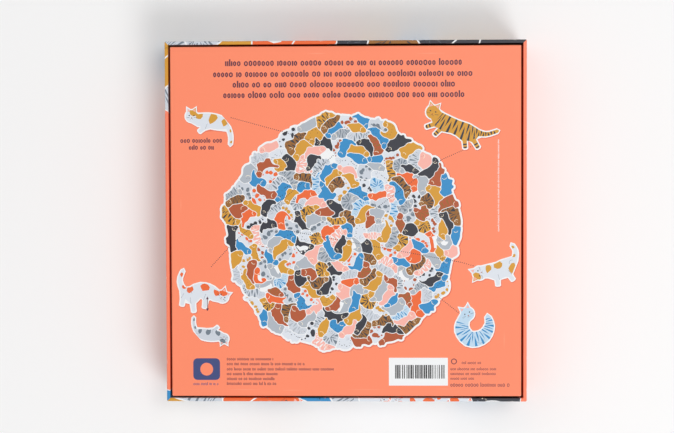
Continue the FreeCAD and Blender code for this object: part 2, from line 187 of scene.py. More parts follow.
INK = {name: ink_material(name) for name in INKS}
FILM = film_material()
PAPER_WHITE = fibre_material("paper_back", (226, 222, 212), (243, 240, 232), 0.85, 0.00003,
                             700, 6.0, (1, 3, 1))
TAPE = fibre_material("gummed_tape", (184, 146, 100), (208, 172, 126), 0.75, 0.00005,
                      500, 5.0, (1, 1, 6))
GREY_BOARD = board_material("grey_board", (140, 133, 122), (176, 169, 157), (112, 100, 88))
CHIP_BOARD = board_material("chip_board", (158, 155, 148), (190, 187, 179), (128, 120, 108))


# ---- outlines of cats and the dog

SPINE_STEPS = 16
HEAD_STEPS = 12
HEAD_ARC = 118.0            # degrees to each side of its heading over which a head is drawn
EAR_HALF_ANGLE = 21.0
EAR_LENGTH = 1.62           # in head radii
DOG_EAR_LENGTH = 1.25
SNOUT_ANGLE = 24.0
LEG_REACH = 0.8             # share of a leg's length that stands out of the body
LEG_ROOT = 0.86             # in half widths of the body
EAR_SPACING = 5             # degrees from an ear within which the head has no other points
HIDDEN = 0.06               # points this deep in the body are left out
MIN_POINT_GAP = 0.7
# Fewer steps along spine and head, and a wider gap, for outlines that only fill a grid
COARSE = (10, 8, 1.2)
LESS_COARSE = (12, 8, 1.2)

# The same poses as in the CAD: spine knots from tail tip to neck as (x, y, half width), the head
# as (x, y, radius), ear angles, legs as (share of the spine, direction, length, width), and how
# far the snout stands out.
POSES = {name: dict(zip(("spine", "head", "ears", "legs", "snout"), row)) for name, row in {
    "walking": (
        ((-25, 10, 1.1), (-20, 4.5, 1.3), (-14, 2.5, 2.4), (-9, 1, 5.4), (0, 0.5, 5.6), (8, 1, 5.0),
         (12.5, 3, 3.9)), (16.5, 6, 4.7), (28, 84),
        ((0.43, -96, 8, 3), (0.56, -82, 8, 3), (0.78, -98, 8, 3), (0.90, -80, 8, 3)), 0),
    "sitting": (
        ((15, -3, 1.2), (15.5, -8, 1.4), (10, -12, 1.8), (2, -9.5, 6.0), (-1, -3, 7.2), (0, 4, 5.0)),
        (0, 9.5, 5.2), (38, -38), (), 0),
    "curled": (
        ((9.5, -7, 1.8), (3, -10.5, 3.4), (-6, -8.5, 5.0), (-11, 0, 5.6), (-6.5, 8, 5.2),
         (0, 9.5, 4.4)), (6.5, 8, 4.9), (30, 85), (), 0),
    "loaf": (
        ((-19, -5.5, 1.3), (-14, -4, 2.8), (-8, 0, 7.0), (0, 1, 8.0), (6.5, 2, 6.4)),
        (11.5, 5, 5.0), (22, 78), (), 0),
    "stretching": (
        ((-19, 15, 1.1), (-18.5, 9, 1.4), (-14, 5, 2.4), (-9, 2.5, 5.6), (0, -0.5, 4.9), (8, -3, 4.2),
         (12, -3.5, 3.6)), (16, -2.5, 4.5), (46, 100),
        ((0.42, -94, 8.5, 3.2), (0.55, -80, 8, 3), (0.83, -48, 10, 2.8)), 0),
    "running": (
        ((-27, 7, 1.1), (-21, 3, 1.3), (-15, 2, 2.2), (-9, 1, 4.9), (0, 1.5, 4.8), (9, 3, 4.6),
         (13, 4.5, 3.8)), (17, 6.5, 4.4), (34, 88),
        ((0.43, -138, 10, 3.0), (0.53, -112, 9, 2.8), (0.80, -62, 9, 2.8), (0.90, -36, 9.5, 2.8)), 0),
    "arched": (
        ((-14, 19, 1.1), (-16.5, 12, 1.4), (-14, 5, 2.2), (-9, 1.5, 4.6), (-2, 4.5, 5.2), (5, 3.5, 4.9),
         (10, 0.5, 3.9)), (14.5, 0, 4.4), (28, 80),
        ((0.41, -100, 9, 3), (0.52, -84, 11, 3), (0.80, -98, 10, 3)), 0),
    "lying": (
        ((-21, -15, 1.2), (-20.5, -8, 1.4), (-17, -1, 2.0), (-11, 1.5, 5.4), (-1, 2.5, 5.8),
         (8, 2, 4.8)), (13.5, 4.5, 4.9), (30, 86), ((0.84, -46, 9, 3.2),), 0),
    "upright": (
        ((-17, -14, 1.2), (-12, -16, 1.5), (-5, -14, 2.4), (-1, -8, 6.0), (1, 0, 5.6), (0, 7, 4.2)),
        (1, 12.5, 4.9), (36, -36), ((0.62, -28, 7, 3), (0.80, 2, 7.5, 3)), 0),
    "sprawled": (
        ((-23, 2, 1.2), (-18, -2, 1.5), (-13, -2.5, 2.6), (-7, -1, 5.6), (2, 0.5, 5.8), (9, 3, 4.4)),
        (14, 7, 4.8), (26, 80), ((0.42, -120, 6.5, 3.2), (0.86, -58, 7.5, 3.2)), 0),
    "dog": (
        ((-22, 13, 1.3), (-17.5, 8, 1.7), (-12, 3, 3.4), (-8, 1, 5.4), (0, 0.5, 5.6), (8, 2, 5.2),
         (12, 6, 4.2)), (15.5, 10, 4.8), (95,),
        ((0.42, -96, 9, 3.4), (0.54, -84, 9, 3.4), (0.76, -96, 9, 3.4), (0.87, -84, 9, 3.4)), 5.5),
}.items()}
CATS = [name for name in POSES if name != "dog"]
LEG_PROFILE = ((0.3, 1.0), (0.62, 0.92), (0.9, 0.9), (1.0, 0.45), (1.0, -0.45), (0.9, -0.9),
               (0.62, -0.92), (0.3, -1.0))


def polar(x, y, angle, reach):
    return x + reach * math.cos(angle), y + reach * math.sin(angle)


def along_spine(spine, share):
    """Point, half width and heading at a share of the way along the spine (Catmull-Rom)."""
    last = len(spine) - 1
    t = min(share * last, last - 1e-9)
    i = int(t)
    f = t - i
    value, slope = [], []
    for a, b, c, d in zip(*[spine[max(0, min(last, i + step))] for step in (-1, 0, 1, 2)]):
        straight, square, cube = c - a, 2 * a - 5 * b + 4 * c - d, 3 * b - a - 3 * c + d
        value.append(0.5 * (2 * b + straight * f + square * f * f + cube * f ** 3))
        slope.append(0.5 * (straight + 2 * square * f + 3 * cube * f * f))
    return *value, math.atan2(slope[1], slope[0])


def head_heading(pose):
    x, y, _ = pose["head"]
    neck_x, neck_y = along_spine(pose["spine"], 1.0)[:2]
    return math.atan2(y - neck_y, x - neck_x)


def leg_points(spine, leg, grow):
    share, direction, length, width = leg
    x, y, r, heading = along_spine(spine, share)
    dx, dy = polar(0, 0, math.radians(direction), 1)
    root_x, root_y = x + LEG_ROOT * r * math.sin(heading), y - LEG_ROOT * r * math.cos(heading)
    turn = -1 if dx * math.sin(heading) - dy * math.cos(heading) > 0 else 1
    points = []
    for reach, side in LEG_PROFILE:
        forward = reach * (length * LEG_REACH + grow)
        sideways = turn * side * (width / 2 + grow)
        points.append((root_x + forward * dx - sideways * dy, root_y + forward * dy + sideways * dx))
    return points


def head_points(pose, grow, steps):
    """Points round the head, each with its place in order and whether it is a sharp corner."""
    x, y, r = pose["head"]
    heading = head_heading(pose)
    ear_length = DOG_EAR_LENGTH if pose["snout"] else EAR_LENGTH
    marks = []
    for i in range(steps + 1):
        angle = -HEAD_ARC + 2 * HEAD_ARC * i / steps
        if all(abs(angle - ear) > EAR_HALF_ANGLE + EAR_SPACING for ear in pose["ears"]):
            bulge = pose["snout"] * math.exp(-(angle / SNOUT_ANGLE) ** 2)
            marks.append((angle, r + grow + bulge, False))
    for ear in pose["ears"]:
        marks += [(ear - EAR_HALF_ANGLE, r + grow, True), (ear, r * ear_length + 1.4 * grow, True),
                  (ear + EAR_HALF_ANGLE, r + grow, True)]
    return [(*polar(x, y, heading + math.radians(angle), reach), corner)
            for angle, reach, corner in sorted(marks)]


def outline(pose, grow=0.0, steps=SPINE_STEPS, head_steps=HEAD_STEPS, gap=MIN_POINT_GAP):
    """Closed outline as (x, y) points, grown outwards by an even margin."""
    spine = pose["spine"]
    stations = [(i / steps, along_spine(spine, i / steps)) for i in range(steps + 1)]
    discs = [(x, y, r + grow) for _, (x, y, r, _) in stations]
    head_x, head_y, head_r = pose["head"]
    discs.append((head_x, head_y, head_r + grow))
    spine_length = sum(math.dist(a[:2], b[:2]) for a, b in zip(spine, spine[1:]))

    def in_sight(x, y):
        return all(math.dist((x, y), disc[:2]) > disc[2] - HIDDEN for disc in discs)

    belly, back = [], []
    for share, (x, y, r, heading) in stations:
        dx, dy = (r + grow) * math.sin(heading), (r + grow) * math.cos(heading)
        clear_of_legs = all(
            abs(share - leg[0]) > (0.5 * leg[3] + grow) / spine_length + 0.35 / SPINE_STEPS
            for leg in pose["legs"])
        if clear_of_legs and in_sight(x + dx, y - dy):
            belly.append((share, x + dx, y - dy))
        if in_sight(x - dx, y + dy):
            back.append((x - dx, y + dy, False))
    for leg in pose["legs"]:
        points = [p for p in leg_points(spine, leg, grow) if in_sight(*p)]
        belly += [(leg[0] + 1e-4 * (order - len(points) / 2), *p) for order, p in enumerate(points)]
    x, y, r, heading = stations[0][1]
    tail_tip = (*polar(x, y, heading, -(r + grow)), False)
    kept = []
    for point in [tail_tip, *[(x, y, False) for _, x, y in sorted(belly)],
                  *head_points(pose, grow, head_steps), *back[::-1]]:
        if kept and math.dist(point[:2], kept[-1][:2]) < gap:
            if not point[2]:
                continue
            if not kept[-1][2]:
                kept.pop()
        kept.append(point)
    return [(x, y) for x, y, _ in kept]


# ---- drawing on a flat sheet

class Place:
    """Where a drawing goes: scaled, perhaps mirrored, turned and moved."""

    def __init__(self, x=0.0, y=0.0, scale=1.0, turn=0.0, mirrored=False):
        self.x, self.y, self.scale, self.mirrored = x, y, scale, mirrored
        self.cos, self.sin = math.cos(turn), math.sin(turn)

    def __call__(self, points):
        flip = -1 if self.mirrored else 1
        moved = []
        for x, y in points:
            x, y = x * self.scale, flip * y * self.scale
            moved.append((self.x + x * self.cos - y * self.sin, self.y + x * self.sin + y * self.cos))
        return moved


class Print:
    """A drawing made of filled shapes, each hiding those before it."""

    def __init__(self):
        self.shapes = []

    def fill(self, points, ink, inside=None):
        """Adds a shape and returns its number; inside keeps it within an earlier shape."""
        self.shapes.append((points, ink, inside))
        return len(self.shapes) - 1

    def cut(self, border, lines=(), ground="coral"):
        """Triangles of the drawing within a border: points, triangles and the ink of each."""
        points, faces, edges = [], [], []
        for loop in [border, *[shape[0] for shape in self.shapes], *lines]:
            numbers = list(range(len(points), len(points) + len(loop)))
            points.extend(Vector(p) for p in loop)
            if len(faces) <= len(self.shapes):
                faces.append(from_lowest(loop, numbers))
            else:
                edges.extend(zip(numbers, numbers[1:]))
        corners, _, triangles, _, _, owners = delaunay_2d_cdt(points, edges, faces, 1, 1e-5, True)
        kept, inks = [], []
        for triangle, owner in zip(triangles, owners):
            if 0 not in owner:
                continue
            ink = ground
            for number in sorted(set(owner) - {0}, reverse=True):
                _, shape_ink, inside = self.shapes[number - 1]
                if inside is None or inside + 1 in owner:
                    ink = shape_ink
                    break
            kept.append(triangle)
            inks.append(ink)
        return *compact(corners, kept), inks


def compact(points, faces):
    """The points that the faces use, and the faces with their new numbers."""
    used = sorted({number for face in faces for number in face})
    order = {number: i for i, number in enumerate(used)}
    return [points[i] for i in used], [[order[i] for i in face] for face in faces]


def from_lowest(loop, numbers):
    """The loop's numbers, anticlockwise from its lowest corner: what is inside is found from there,
    so a small fold in a grown outline does no harm."""
    low = min(range(len(loop)), key=lambda i: (loop[i][1], loop[i][0]))
    (ax, ay), (bx, by), (cx, cy) = loop[low - 1], loop[low], loop[(low + 1) % len(loop)]
    turned = numbers[low:] + numbers[:low]
    if (bx - ax) * (cy - by) - (by - ay) * (cx - bx) < 0:
        turned = turned[:1] + turned[:0:-1]
    return turned


def hull(points):
    """Convex outline round some points, anticlockwise."""
    points = sorted(set(points))
    sides = []
    for ordered in (points, points[::-1]):
        side = []
        for p in ordered:
            while len(side) > 1 and ((side[-1][0] - side[-2][0]) * (p[1] - side[-2][1])
                                     <= (side[-1][1] - side[-2][1]) * (p[0] - side[-2][0])):
                side.pop()
            side.append(p)
        sides += side[:-1]
    return sides


def anticlockwise(loop):
    area = sum(a[0] * b[1] - b[0] * a[1] for a, b in zip(loop, loop[1:] + loop[:1]))
    return loop if area > 0 else loop[::-1]


def inset(loop, distance):
    """An anticlockwise loop with every corner moved inwards."""
    moved = []
    for i, (x, y) in enumerate(loop):
        (ax, ay), (bx, by) = loop[i - 1], loop[(i + 1) % len(loop)]
        before, after = math.dist((ax, ay), (x, y)), math.dist((x, y), (bx, by))
        nx = -(y - ay) / before - (by - y) / after
        ny = (x - ax) / before + (bx - x) / after
        length = math.hypot(nx, ny)
        moved.append((x + distance * nx / length, y + distance * ny / length))
    return moved


def quarter_turned(points, turns):
    """Points turned about the sheet's middle."""
    for _ in range(turns):
        points = [(-v, u) for u, v in points]
    return points


def ring(x, y, rx, ry=None, sides=10, turn=0.0, wobble=0.0, rng=None):
    ry = rx if ry is None else ry
    points = []
    for i in range(sides):
        a = 2 * math.pi * i / sides
        k = 1 + (rng.uniform(-wobble, wobble) if wobble else 0)
        points.append((rx * k * math.cos(a), ry * k * math.sin(a)))
    return Place(x, y, 1.0, turn)(points)


def bar(x0, y0, x1, y1):
    return [(x0, y0), (x1, y0), (x1, y1), (x0, y1)]


def rounded(x0, y0, x1, y1, radius, steps=4):
    corners = ((x1 - radius, y1 - radius), (x0 + radius, y1 - radius),
               (x0 + radius, y0 + radius), (x1 - radius, y0 + radius))
    return [polar(*corner, (start + i / steps) * math.pi / 2, radius)
            for start, corner in enumerate(corners) for i in range(steps + 1)]


def stroke(a, b, width):
    length = math.dist(a, b)
    nx, ny = (a[1] - b[1]) / length * width / 2, (b[0] - a[0]) / length * width / 2
    return [(a[0] + nx, a[1] + ny), (a[0] - nx, a[1] - ny), (b[0] - nx, b[1] - ny), (b[0] + nx, b[1] + ny)]


# Coats as (ground, pattern, ink of the pattern, share of the cats that wear it)
COATS = {
    "calico": ("snow", "patches", "ochre", 3), "cow": ("snow", "patches", "orange", 3),
    "tortoise": ("snow", "patches", "rust", 3), "pebble": ("snow", "spots", "charcoal", 2),
    "smoke": ("pale_grey", "patches", "slate", 4), "milk": ("pale_grey", "stripes", "slate", 4),
    "mist": ("pale_grey", "stripes", "grey", 2), "domino": ("snow", "patches", "charcoal", 3),
    "sky": ("pale_blue", "stripes", "blue", 2), "ash": ("grey", "stripes", "slate", 5),
    "pearl": ("grey", "belly", "white", 2), "dove": ("grey", "plain", "", 3),
    "black": ("charcoal", "plain", "", 6), "tuxedo": ("charcoal", "belly", "white", 1),
    "rust": ("rust", "stripes", "brown", 4), "russet": ("rust", "plain", "", 6),
    "bark": ("brown", "stripes", "charcoal", 5), "ginger": ("orange", "belly", "white", 1),
    "flame": ("orange", "plain", "", 3), "blue": ("blue", "plain", "", 6),
    "ink": ("blue", "spots", "charcoal", 3), "rose": ("pink", "plain", "", 4),
    "blush": ("pink", "stripes", "white", 2), "tiger": ("ochre", "stripes", "charcoal", 5),
    "leopard": ("ochre", "spots", "brown", 4), "honey": ("ochre", "plain", "", 8),
}
DARK = ("charcoal", "brown")
PALE = ("snow", "pale_grey", "pale_blue")


class Painter:
    """Draws on one animal, within the body that has been filled with its coat's ground.

    Every pattern takes the same three things, whether or not it needs them."""

    def __init__(self, sheet, pose, place, body):
        self.sheet, self.pose, self.place, self.body = sheet, pose, place, body
        self.spine, self.head, self.heading = pose["spine"], pose["head"], head_heading(pose)

    def mark(self, points, ink, convex=False):
        points = self.place(points)
        self.sheet.fill(hull(points) if convex else points, ink, self.body)

    def line(self, points, width, ink):
        for a, b in zip(points, points[1:]):
            self.mark(stroke(a, b, width), ink)

    def beside(self, share, across):
        """A point beside the spine: across 1 is the back's edge and -1 the belly's."""
        x, y, r, heading = along_spine(self.spine, share)
        return x - across * r * math.sin(heading), y + across * r * math.cos(heading)

    def stripes(self, ink, fine, rng):
        """Tapered bars that start at the back and the belly by turns, and rings round the legs."""
        count = 22 if fine else 9
        width = 0.30 / count
        for i in range(count):
            share = 0.04 + 0.92 * (i + 0.5) / count
            side = 1 if i % 2 else -1
            past_middle = -0.55 if share > 0.3 else -1.2
            corners = ((-1, 1.25), (-0.8, 0.3), (0.3, past_middle), (0.8, 0.3), (1, 1.25))
            self.mark([self.beside(share + k * width, side * across) for k, across in corners],
                      ink, convex=True)
        for leg in self.pose["legs"]:
            points = leg_points(self.spine, leg, 0)
            for low, high in ((1, 6), (2, 5)):
                self.line((points[low], points[high]), 0.9, ink)

    def patches(self, ink, fine, rng):
        for share in (0.08, 0.30, 0.52, 0.74, 0.96):
            x, y = self.beside(share, rng.choice((0.75, -0.6, 0.45)))
            r = along_spine(self.spine, share)[2] * rng.uniform(0.55, 0.85)
            self.mark(ring(x, y, max(r, 1.6), max(0.75 * r, 1.3), 9, rng.uniform(0, 3), 0.22, rng), ink)
        x, y, r = self.head
        ear = polar(x, y, self.heading + math.radians(self.pose["ears"][-1]), 0.8 * r)
        self.mark(ring(*ear, 0.75 * r, sides=8), ink)

    def spots(self, ink, fine, rng):
        count = 16 if fine else 8
        for i in range(count):
            x, y = self.beside(0.1 + 0.88 * (i + 0.5) / count, rng.uniform(-0.7, 0.75))
            size = rng.uniform(0.75, 1.25)
            self.mark(ring(x, y, size, 0.75 * size, 6, rng.uniform(0, 3)), ink)

    def belly(self, ink, fine, rng):
        shares = (0.36, 0.5, 0.64, 0.78, 0.92, 1.0)
        for ends in zip(shares, shares[1:]):
            self.mark([self.beside(share, across) for share in ends for across in (-0.25, -1.6)],
                      ink, convex=True)
        for leg in self.pose["legs"]:
            self.mark(leg_points(self.spine, leg, 0.3)[1:7], ink, convex=True)

    def limb_lines(self):
        """Thin lines where the legs and the haunch lie over the body."""
        for leg in self.pose["legs"]:
            root = leg_points(self.spine, leg, 0)[0]
            self.line((root, self.beside(max(0, leg[0] - 0.02), -0.45)), 0.2, "slate")
        x, y, r, heading = along_spine(self.spine, 0.46)
        self.line(ring(x, y, 0.62 * r, 0.72 * r, 14, heading)[1:7], 0.2, "slate")

    def chin(self, ground):
        """The head's edge where it lies over the body, which is all a small drawing shows of it."""
        x, y, r = self.head
        self.line(ring(x, y, r, sides=12, turn=self.heading)[4:9], 0.3 / self.place.scale,
                  "grey" if ground in PALE else "cream")

    def face(self, ground, fine):
        x, y, r = self.head
        ears = [self.heading + math.radians(ear) for ear in sorted(self.pose["ears"])]
        up = sum(ears) / len(ears)
        ux, uy = math.cos(up), math.sin(up)
        dark = ground in DARK
        ink = "cream" if dark else "charcoal"

        def at(upwards, sideways):
            return (x + upwards * r * ux + sideways * r * uy, y + upwards * r * uy - sideways * r * ux)

        if fine:
            for a in ears:
                base = polar(x, y, a, 0.92 * r)
                sides = [polar(*base, a + side * math.pi / 2, 0.26 * r) for side in (1, -1)]
                self.mark([polar(x, y, a, 1.38 * r), *sides], "slate" if dark else "pink")
        if self.pose["snout"]:
            self.mark(ring(*polar(x, y, self.heading, 1.75 * r), 1.0, sides=8), "charcoal")
            self.mark(ring(x + 0.35 * r, y + 0.3 * r, 0.6, sides=8), ink)
            return
        for side in (-1, 1):
            self.mark(ring(*at(0.12, 0.40 * side), 0.13 * r, 0.10 * r, 6), ink)
        self.mark([at(-0.22, 0.13), at(-0.22, -0.13), at(-0.38, 0)], "pink" if dark else "rust")
        if fine:
            for side in (-1, 1):
                self.line((at(-0.38, 0), at(-0.54, 0.22 * side)), 0.16, ink)
                for lift in (-0.10, 0.06):
                    self.line((at(-0.22, 0.35 * side), at(-0.22 + lift, 0.95 * side)), 0.12, ink)


PATTERNS = {"stripes": Painter.stripes, "patches": Painter.patches, "spots": Painter.spots,
            "belly": Painter.belly}


def dress(sheet, pose, place, coat, loop, rng, fine=True):
    """One animal: its body's outline filled with its coat's ground, then its pattern and face."""
    ground, pattern, ink, _ = COATS[coat]
    painter = Painter(sheet, pose, place, sheet.fill(loop, ground))
    if pattern in PATTERNS:
        PATTERNS[pattern](painter, ink, fine, rng)
    if fine:
        painter.limb_lines()
    else:
        painter.chin(ground)
    painter.face(ground, fine)


# ---- fitting cats together

SOFTENED = 3                # corners to each side that an outline is evened out over; 1 in 3 is kept
FREE_STEPS = 2              # an animal may grow by this many cells outside the room
TURNS = 16                  # directions in which an animal may lie
COAT_TRIES = 6


def stamp(points, pitch):
    """Grid cells whose centres lie in a polygon, as a mask and the cell of its lower corner."""
    loop = np.array(points) / pitch
    low = np.floor(loop.min(0)).astype(int)
    high = np.ceil(loop.max(0)).astype(int)
    xs = np.arange(low[0], high[0] + 1) + 0.5
    ys = np.arange(low[1], high[1] + 1) + 0.5
    inside = np.zeros((len(ys), len(xs)), bool)
    for (x0, y0), (x1, y1) in zip(loop, np.roll(loop, -1, 0)):
        if y0 != y1:
            rows = (y0 > ys) != (y1 > ys)
            cross = x0 + (ys - y0) * (x1 - x0) / (y1 - y0)
            inside ^= rows[:, None] & (xs[None, :] < cross[:, None])
    return inside, low


def cell_centres(half, pitch):
    """x along a row and y down a column of a square grid round the middle."""
    axis = np.arange(-half, half, pitch) + pitch / 2
    return axis[None, :], axis[:, None]


def fit_together(kinds, room, cost, origin, pitch, scales, tries, rng):
    """Places outlines one by one in the room that is left, each where the cost is lowest.

    room and cost are grids; origin is the sheet point of cell (0, 0). Returns, for each that fits,
    (kind, Place)."""
    shape = room.shape
    blocked = (~room).astype(float)
    stamps, placed = {}, []
    for number, kind in enumerate(kinds):
        spectrum = np.fft.rfft2(blocked)
        scale = scales[number % len(scales)]
        best = None
        for _ in range(tries):
            key = (kind, scale, 2 * math.pi * rng.randrange(TURNS) / TURNS, rng.random() < 0.5)
            if key not in stamps:
                mask, low = stamp(Place(0, 0, *key[1:])(outline(POSES[kind], 0.15, *COARSE)), pitch)
                canvas = np.zeros(shape)
                canvas[:mask.shape[0], :mask.shape[1]] = mask
                stamps[key] = (mask, low, np.conj(np.fft.rfft2(canvas)).astype(np.complex64))
            mask, low, mask_spectrum = stamps[key]
            free = np.fft.irfft2(spectrum * mask_spectrum, shape) < 0.5
            free[shape[0] - mask.shape[0]:] = False
            free[:, shape[1] - mask.shape[1]:] = False
            middle_cost = np.roll(cost, (-(mask.shape[0] // 2), -(mask.shape[1] // 2)), (0, 1))
            value = np.where(free, middle_cost, np.inf)
            spot = int(value.argmin())
            if np.isfinite(value.flat[spot]) and (best is None or value.flat[spot] < best[0]):
                best = (value.flat[spot], divmod(spot, shape[1]), key)
        if best:
            _, (row, column), key = best
            mask, low, _ = stamps[key]
            taken = blocked[row:row + mask.shape[0], column:column + mask.shape[1]]
            np.maximum(taken, mask, out=taken)
            x, y = origin[0] + (column - low[0]) * pitch, origin[1] + (row - low[1]) * pitch
            placed.append((kind, Place(x, y, *key[1:])))
    return placed


def trace(mask):
    """The mask's longest outline, as the corners of cells, anticlockwise."""
    rows, columns = mask.shape
    padded = np.pad(mask, 1)
    ends = {}
    for (dy, dx), (ax, ay), (bx, by) in (((-1, 0), (0, 0), (1, 0)), ((0, 1), (1, 0), (1, 1)),
                                         ((1, 0), (1, 1), (0, 1)), ((0, -1), (0, 1), (0, 0))):
        beyond = padded[1 + dy:1 + dy + rows, 1 + dx:1 + dx + columns]
        for y, x in np.argwhere(mask & ~beyond):
            ends.setdefault((x + ax, y + ay), []).append((x + bx, y + by))
    longest = []
    while ends:
        loop = [next(iter(ends))]
        while loop[-1] in ends:
            after = ends[loop[-1]].pop()
            if not ends[loop[-1]]:
                del ends[loop[-1]]
            loop.append(after)
        longest = max(longest, loop[:-1], key=len)
    return np.array(longest, float)


def swollen(placed, room, origin, pitch, reach, gap):
    """The outline of each placed animal once it has grown by up to reach into the room round it,
    and then drawn back to leave a gap. The room is a grid whose cell (0, 0) lies at origin."""
    owner = np.zeros(room.shape, int)
    for number, (kind, place) in enumerate(placed, 1):
        mask, low = stamp(np.array(place(outline(POSES[kind], 0, *LESS_COARSE))) - origin, pitch)
        rows, columns = np.nonzero(mask)
        owner[rows + low[1], columns + low[0]] = number
    sides = ((0, 1), (1, 0), (0, -1), (-1, 0), (1, 1), (-1, 1), (-1, -1), (1, -1))
    for step in range(int(reach / pitch)):
        before = owner
        open_room = room | (step < FREE_STEPS)
        for side in sides[:4 + 4 * (step % 2)]:
            owner = np.where((owner == 0) & open_room, np.roll(before, side, (0, 1)), owner)
    loops = []
    for number in range(1, len(placed) + 1):
        rows, columns = np.nonzero(owner == number)
        low = np.array((columns.min(), rows.min()))
        loop = trace(owner[low[1]:rows.max() + 1, low[0]:columns.max() + 1] == number)
        loop = np.mean([np.roll(loop, shift, 0) for shift in range(-SOFTENED, SOFTENED + 1)], 0)
        loop = (loop[::SOFTENED] + low) * pitch + origin
        loops.append(inset([(float(x), float(y)) for x, y in loop], gap / 2))
    return loops


def pick_coat(rng):
    return rng.choices(list(COATS), [coat[-1] for coat in COATS.values()])[0]


def mixed_coats(placed, near, rng):
    """A coat for each animal, unlike those near it where a few tries find one."""
    coats = []
    for _, place in placed:
        beside = {COATS[coat][0] for (_, other), coat in zip(placed, coats)
                  if math.dist((place.x, place.y), (other.x, other.y)) < near}
        for _ in range(COAT_TRIES):
            coat = pick_coat(rng)
            if COATS[coat][0] not in beside:
                break
        coats.append(coat)
    return coats


# ---- folding a printed sheet round a box

class Fold:
    """Section of a cover, from the middle of the panel over its edge, up the wall, over the rim and
    down inside. at() gives the distance from the box's axis, the height and the outward normal."""

    def __init__(self, half, height):
        r, ro, ri = EDGE_RADIUS, RIM_OUTER_RADIUS, RIM_INNER_RADIUS
        quarter = math.pi / 2
        self.half = half
        self.flat = half - r
        inner = half - WALL
        self.runs = [
            self.line((0, 0), (half - r, 0), (0, -1)),
            self.arc((half - r, r), r, -quarter),
            self.line((half, r), (half, height - ro), (1, 0)),
            self.arc((half - ro, height - ro), ro, 0),
            self.line((half - ro, height), (inner + ri, height), (0, 1)),
            self.arc((inner + ri, height - ri), ri, quarter),
            self.line((inner, height - ri), (inner, height - TURN_IN), (-1, 0)),
        ]
        knots, self.end = [], 0.0
        for length, steps, _ in self.runs:
            knots += [self.end + length * i / steps for i in range(steps)]
            self.end += length
        # Across a flap: from the fold beside the panel to the cut edge
        self.knots = [s for s in [*knots, self.end] if s >= self.flat]

    @staticmethod
    def line(a, b, normal):
        length = math.dist(a, b)

        def point(s):
            f = s / length
            return a[0] + f * (b[0] - a[0]), a[1] + f * (b[1] - a[1]), *normal
        return length, 1, point

    @staticmethod
    def arc(centre, radius, start):
        def point(s):
            c, n = polar(0, 0, start + s / radius, 1)
            return centre[0] + radius * c, centre[1] + radius * n, c, n
        return radius * math.pi / 2, ARC_STEPS, point

    def at(self, s):
        for length, _, point in self.runs:
            if s <= length:
                return point(s)
            s -= length
        return point(length)

    def corner(self, d):
        """Radius in plan of the box's corner at this distance from its axis."""
        return max(0.0, EDGE_RADIUS - (self.half - d))

    def reach(self, s, share=1.0):
        """Half width of a flap, or a line that far round its corner."""
        d = self.at(s)[0]
        radius = self.corner(d)
        return d - radius + share * radius * math.pi / 4

    def border(self):
        """Outline of the whole flat sheet, anticlockwise."""
        side = [(self.reach(s), s) for s in self.knots]
        flap = side + [(-u, s) for u, s in reversed(side)]
        loop = []
        for turn in range(4):
            for point in quarter_turned(flap, turn):
                if not loop or math.dist(loop[-1], point) > 1e-6:
                    loop.append(point)
        return loop[:-1] if math.dist(loop[0], loop[-1]) < 1e-6 else loop

    def lines(self):
        """Fold lines across each flap, and the lines where it bends round the corner."""
        across = [[(-self.reach(s), s), (self.reach(s), s)] for s in self.knots]
        bent = [s for s in self.knots if self.corner(self.at(s)[0]) > 0]
        across += [[(side * self.reach(s, share), s) for s in bent]
                   for share in (0.0, 1 / 3, 2 / 3) for side in (-1, 1)]
        return [quarter_turned(line, turn) for turn in range(4) for line in across]

    def fold(self, u, v, depth):
        """Where a point of the flat sheet ends up, moved inwards by a depth."""
        along_y = abs(v) >= abs(u)
        s, t = (abs(v), u) if along_y else (abs(u), v)
        sign = math.copysign(1, v if along_y else u)
        d, z, outwards, up = self.at(s)
        if s <= self.flat:
            return Vector((u, v, depth))
        radius = self.corner(d)
        edge = d - radius
        if abs(t) > edge and radius > 1e-9:
            angle = min((abs(t) - edge) / radius, math.pi / 4)
            c, n = math.cos(angle), math.sin(angle)
            out = edge + radius * c - depth * outwards * c
            along = math.copysign(edge + radius * n - depth * outwards * n, t)
        else:
            out = d - depth * outwards
            along = math.copysign(out, t) if abs(t) > out and outwards > 0 else t
        x, y = (along, out * sign) if along_y else (out * sign, along)
        return Vector((x, y, z - depth * up))


def rub_folds(sheet, fold, ink, rng, count=26):
    """Small marks where the laminate has rubbed thin, on the panel's folds and the rim's, most of
    them towards the corners."""
    lengths = [run[0] for run in fold.runs]
    panel_fold = fold.flat + lengths[1] / 2
    rim_fold = fold.flat + lengths[1] + lengths[2] + lengths[3] / 2
    for turn in range(4):
        for number in range(count):
            s = panel_fold if number % 3 else rim_fold
            t = rng.uniform(-1, 1)
            u = math.copysign(abs(t) ** 0.45, t) * (fold.half - 1.6)
            s += rng.uniform(-0.25, 0.25)
            length, width = rng.uniform(0.6, 4.5), rng.uniform(0.10, 0.28)
            loop = [(u - length / 2, s), (u, s - width / 2), (u + length / 2, s), (u, s + width / 2)]
            sheet.fill(quarter_turned(loop, turn), ink)
    c = fold.flat + 0.35
    for sx, sy in ((-1, -1), (-1, 1), (1, -1), (1, 1)):
        sheet.fill(ring(sx * c, sy * c, 0.42, sides=7, wobble=0.3, rng=rng), ink)


# What a face can be made of, in the order of a mesh's slots
MATERIALS = dict(sorted({**INK, "chip": CHIP_BOARD}.items()), paper=PAPER_WHITE, film=FILM)


def new_object(name, data):
    made = bpy.data.objects.new(name, data)
    bpy.context.scene.collection.objects.link(made)
    return made


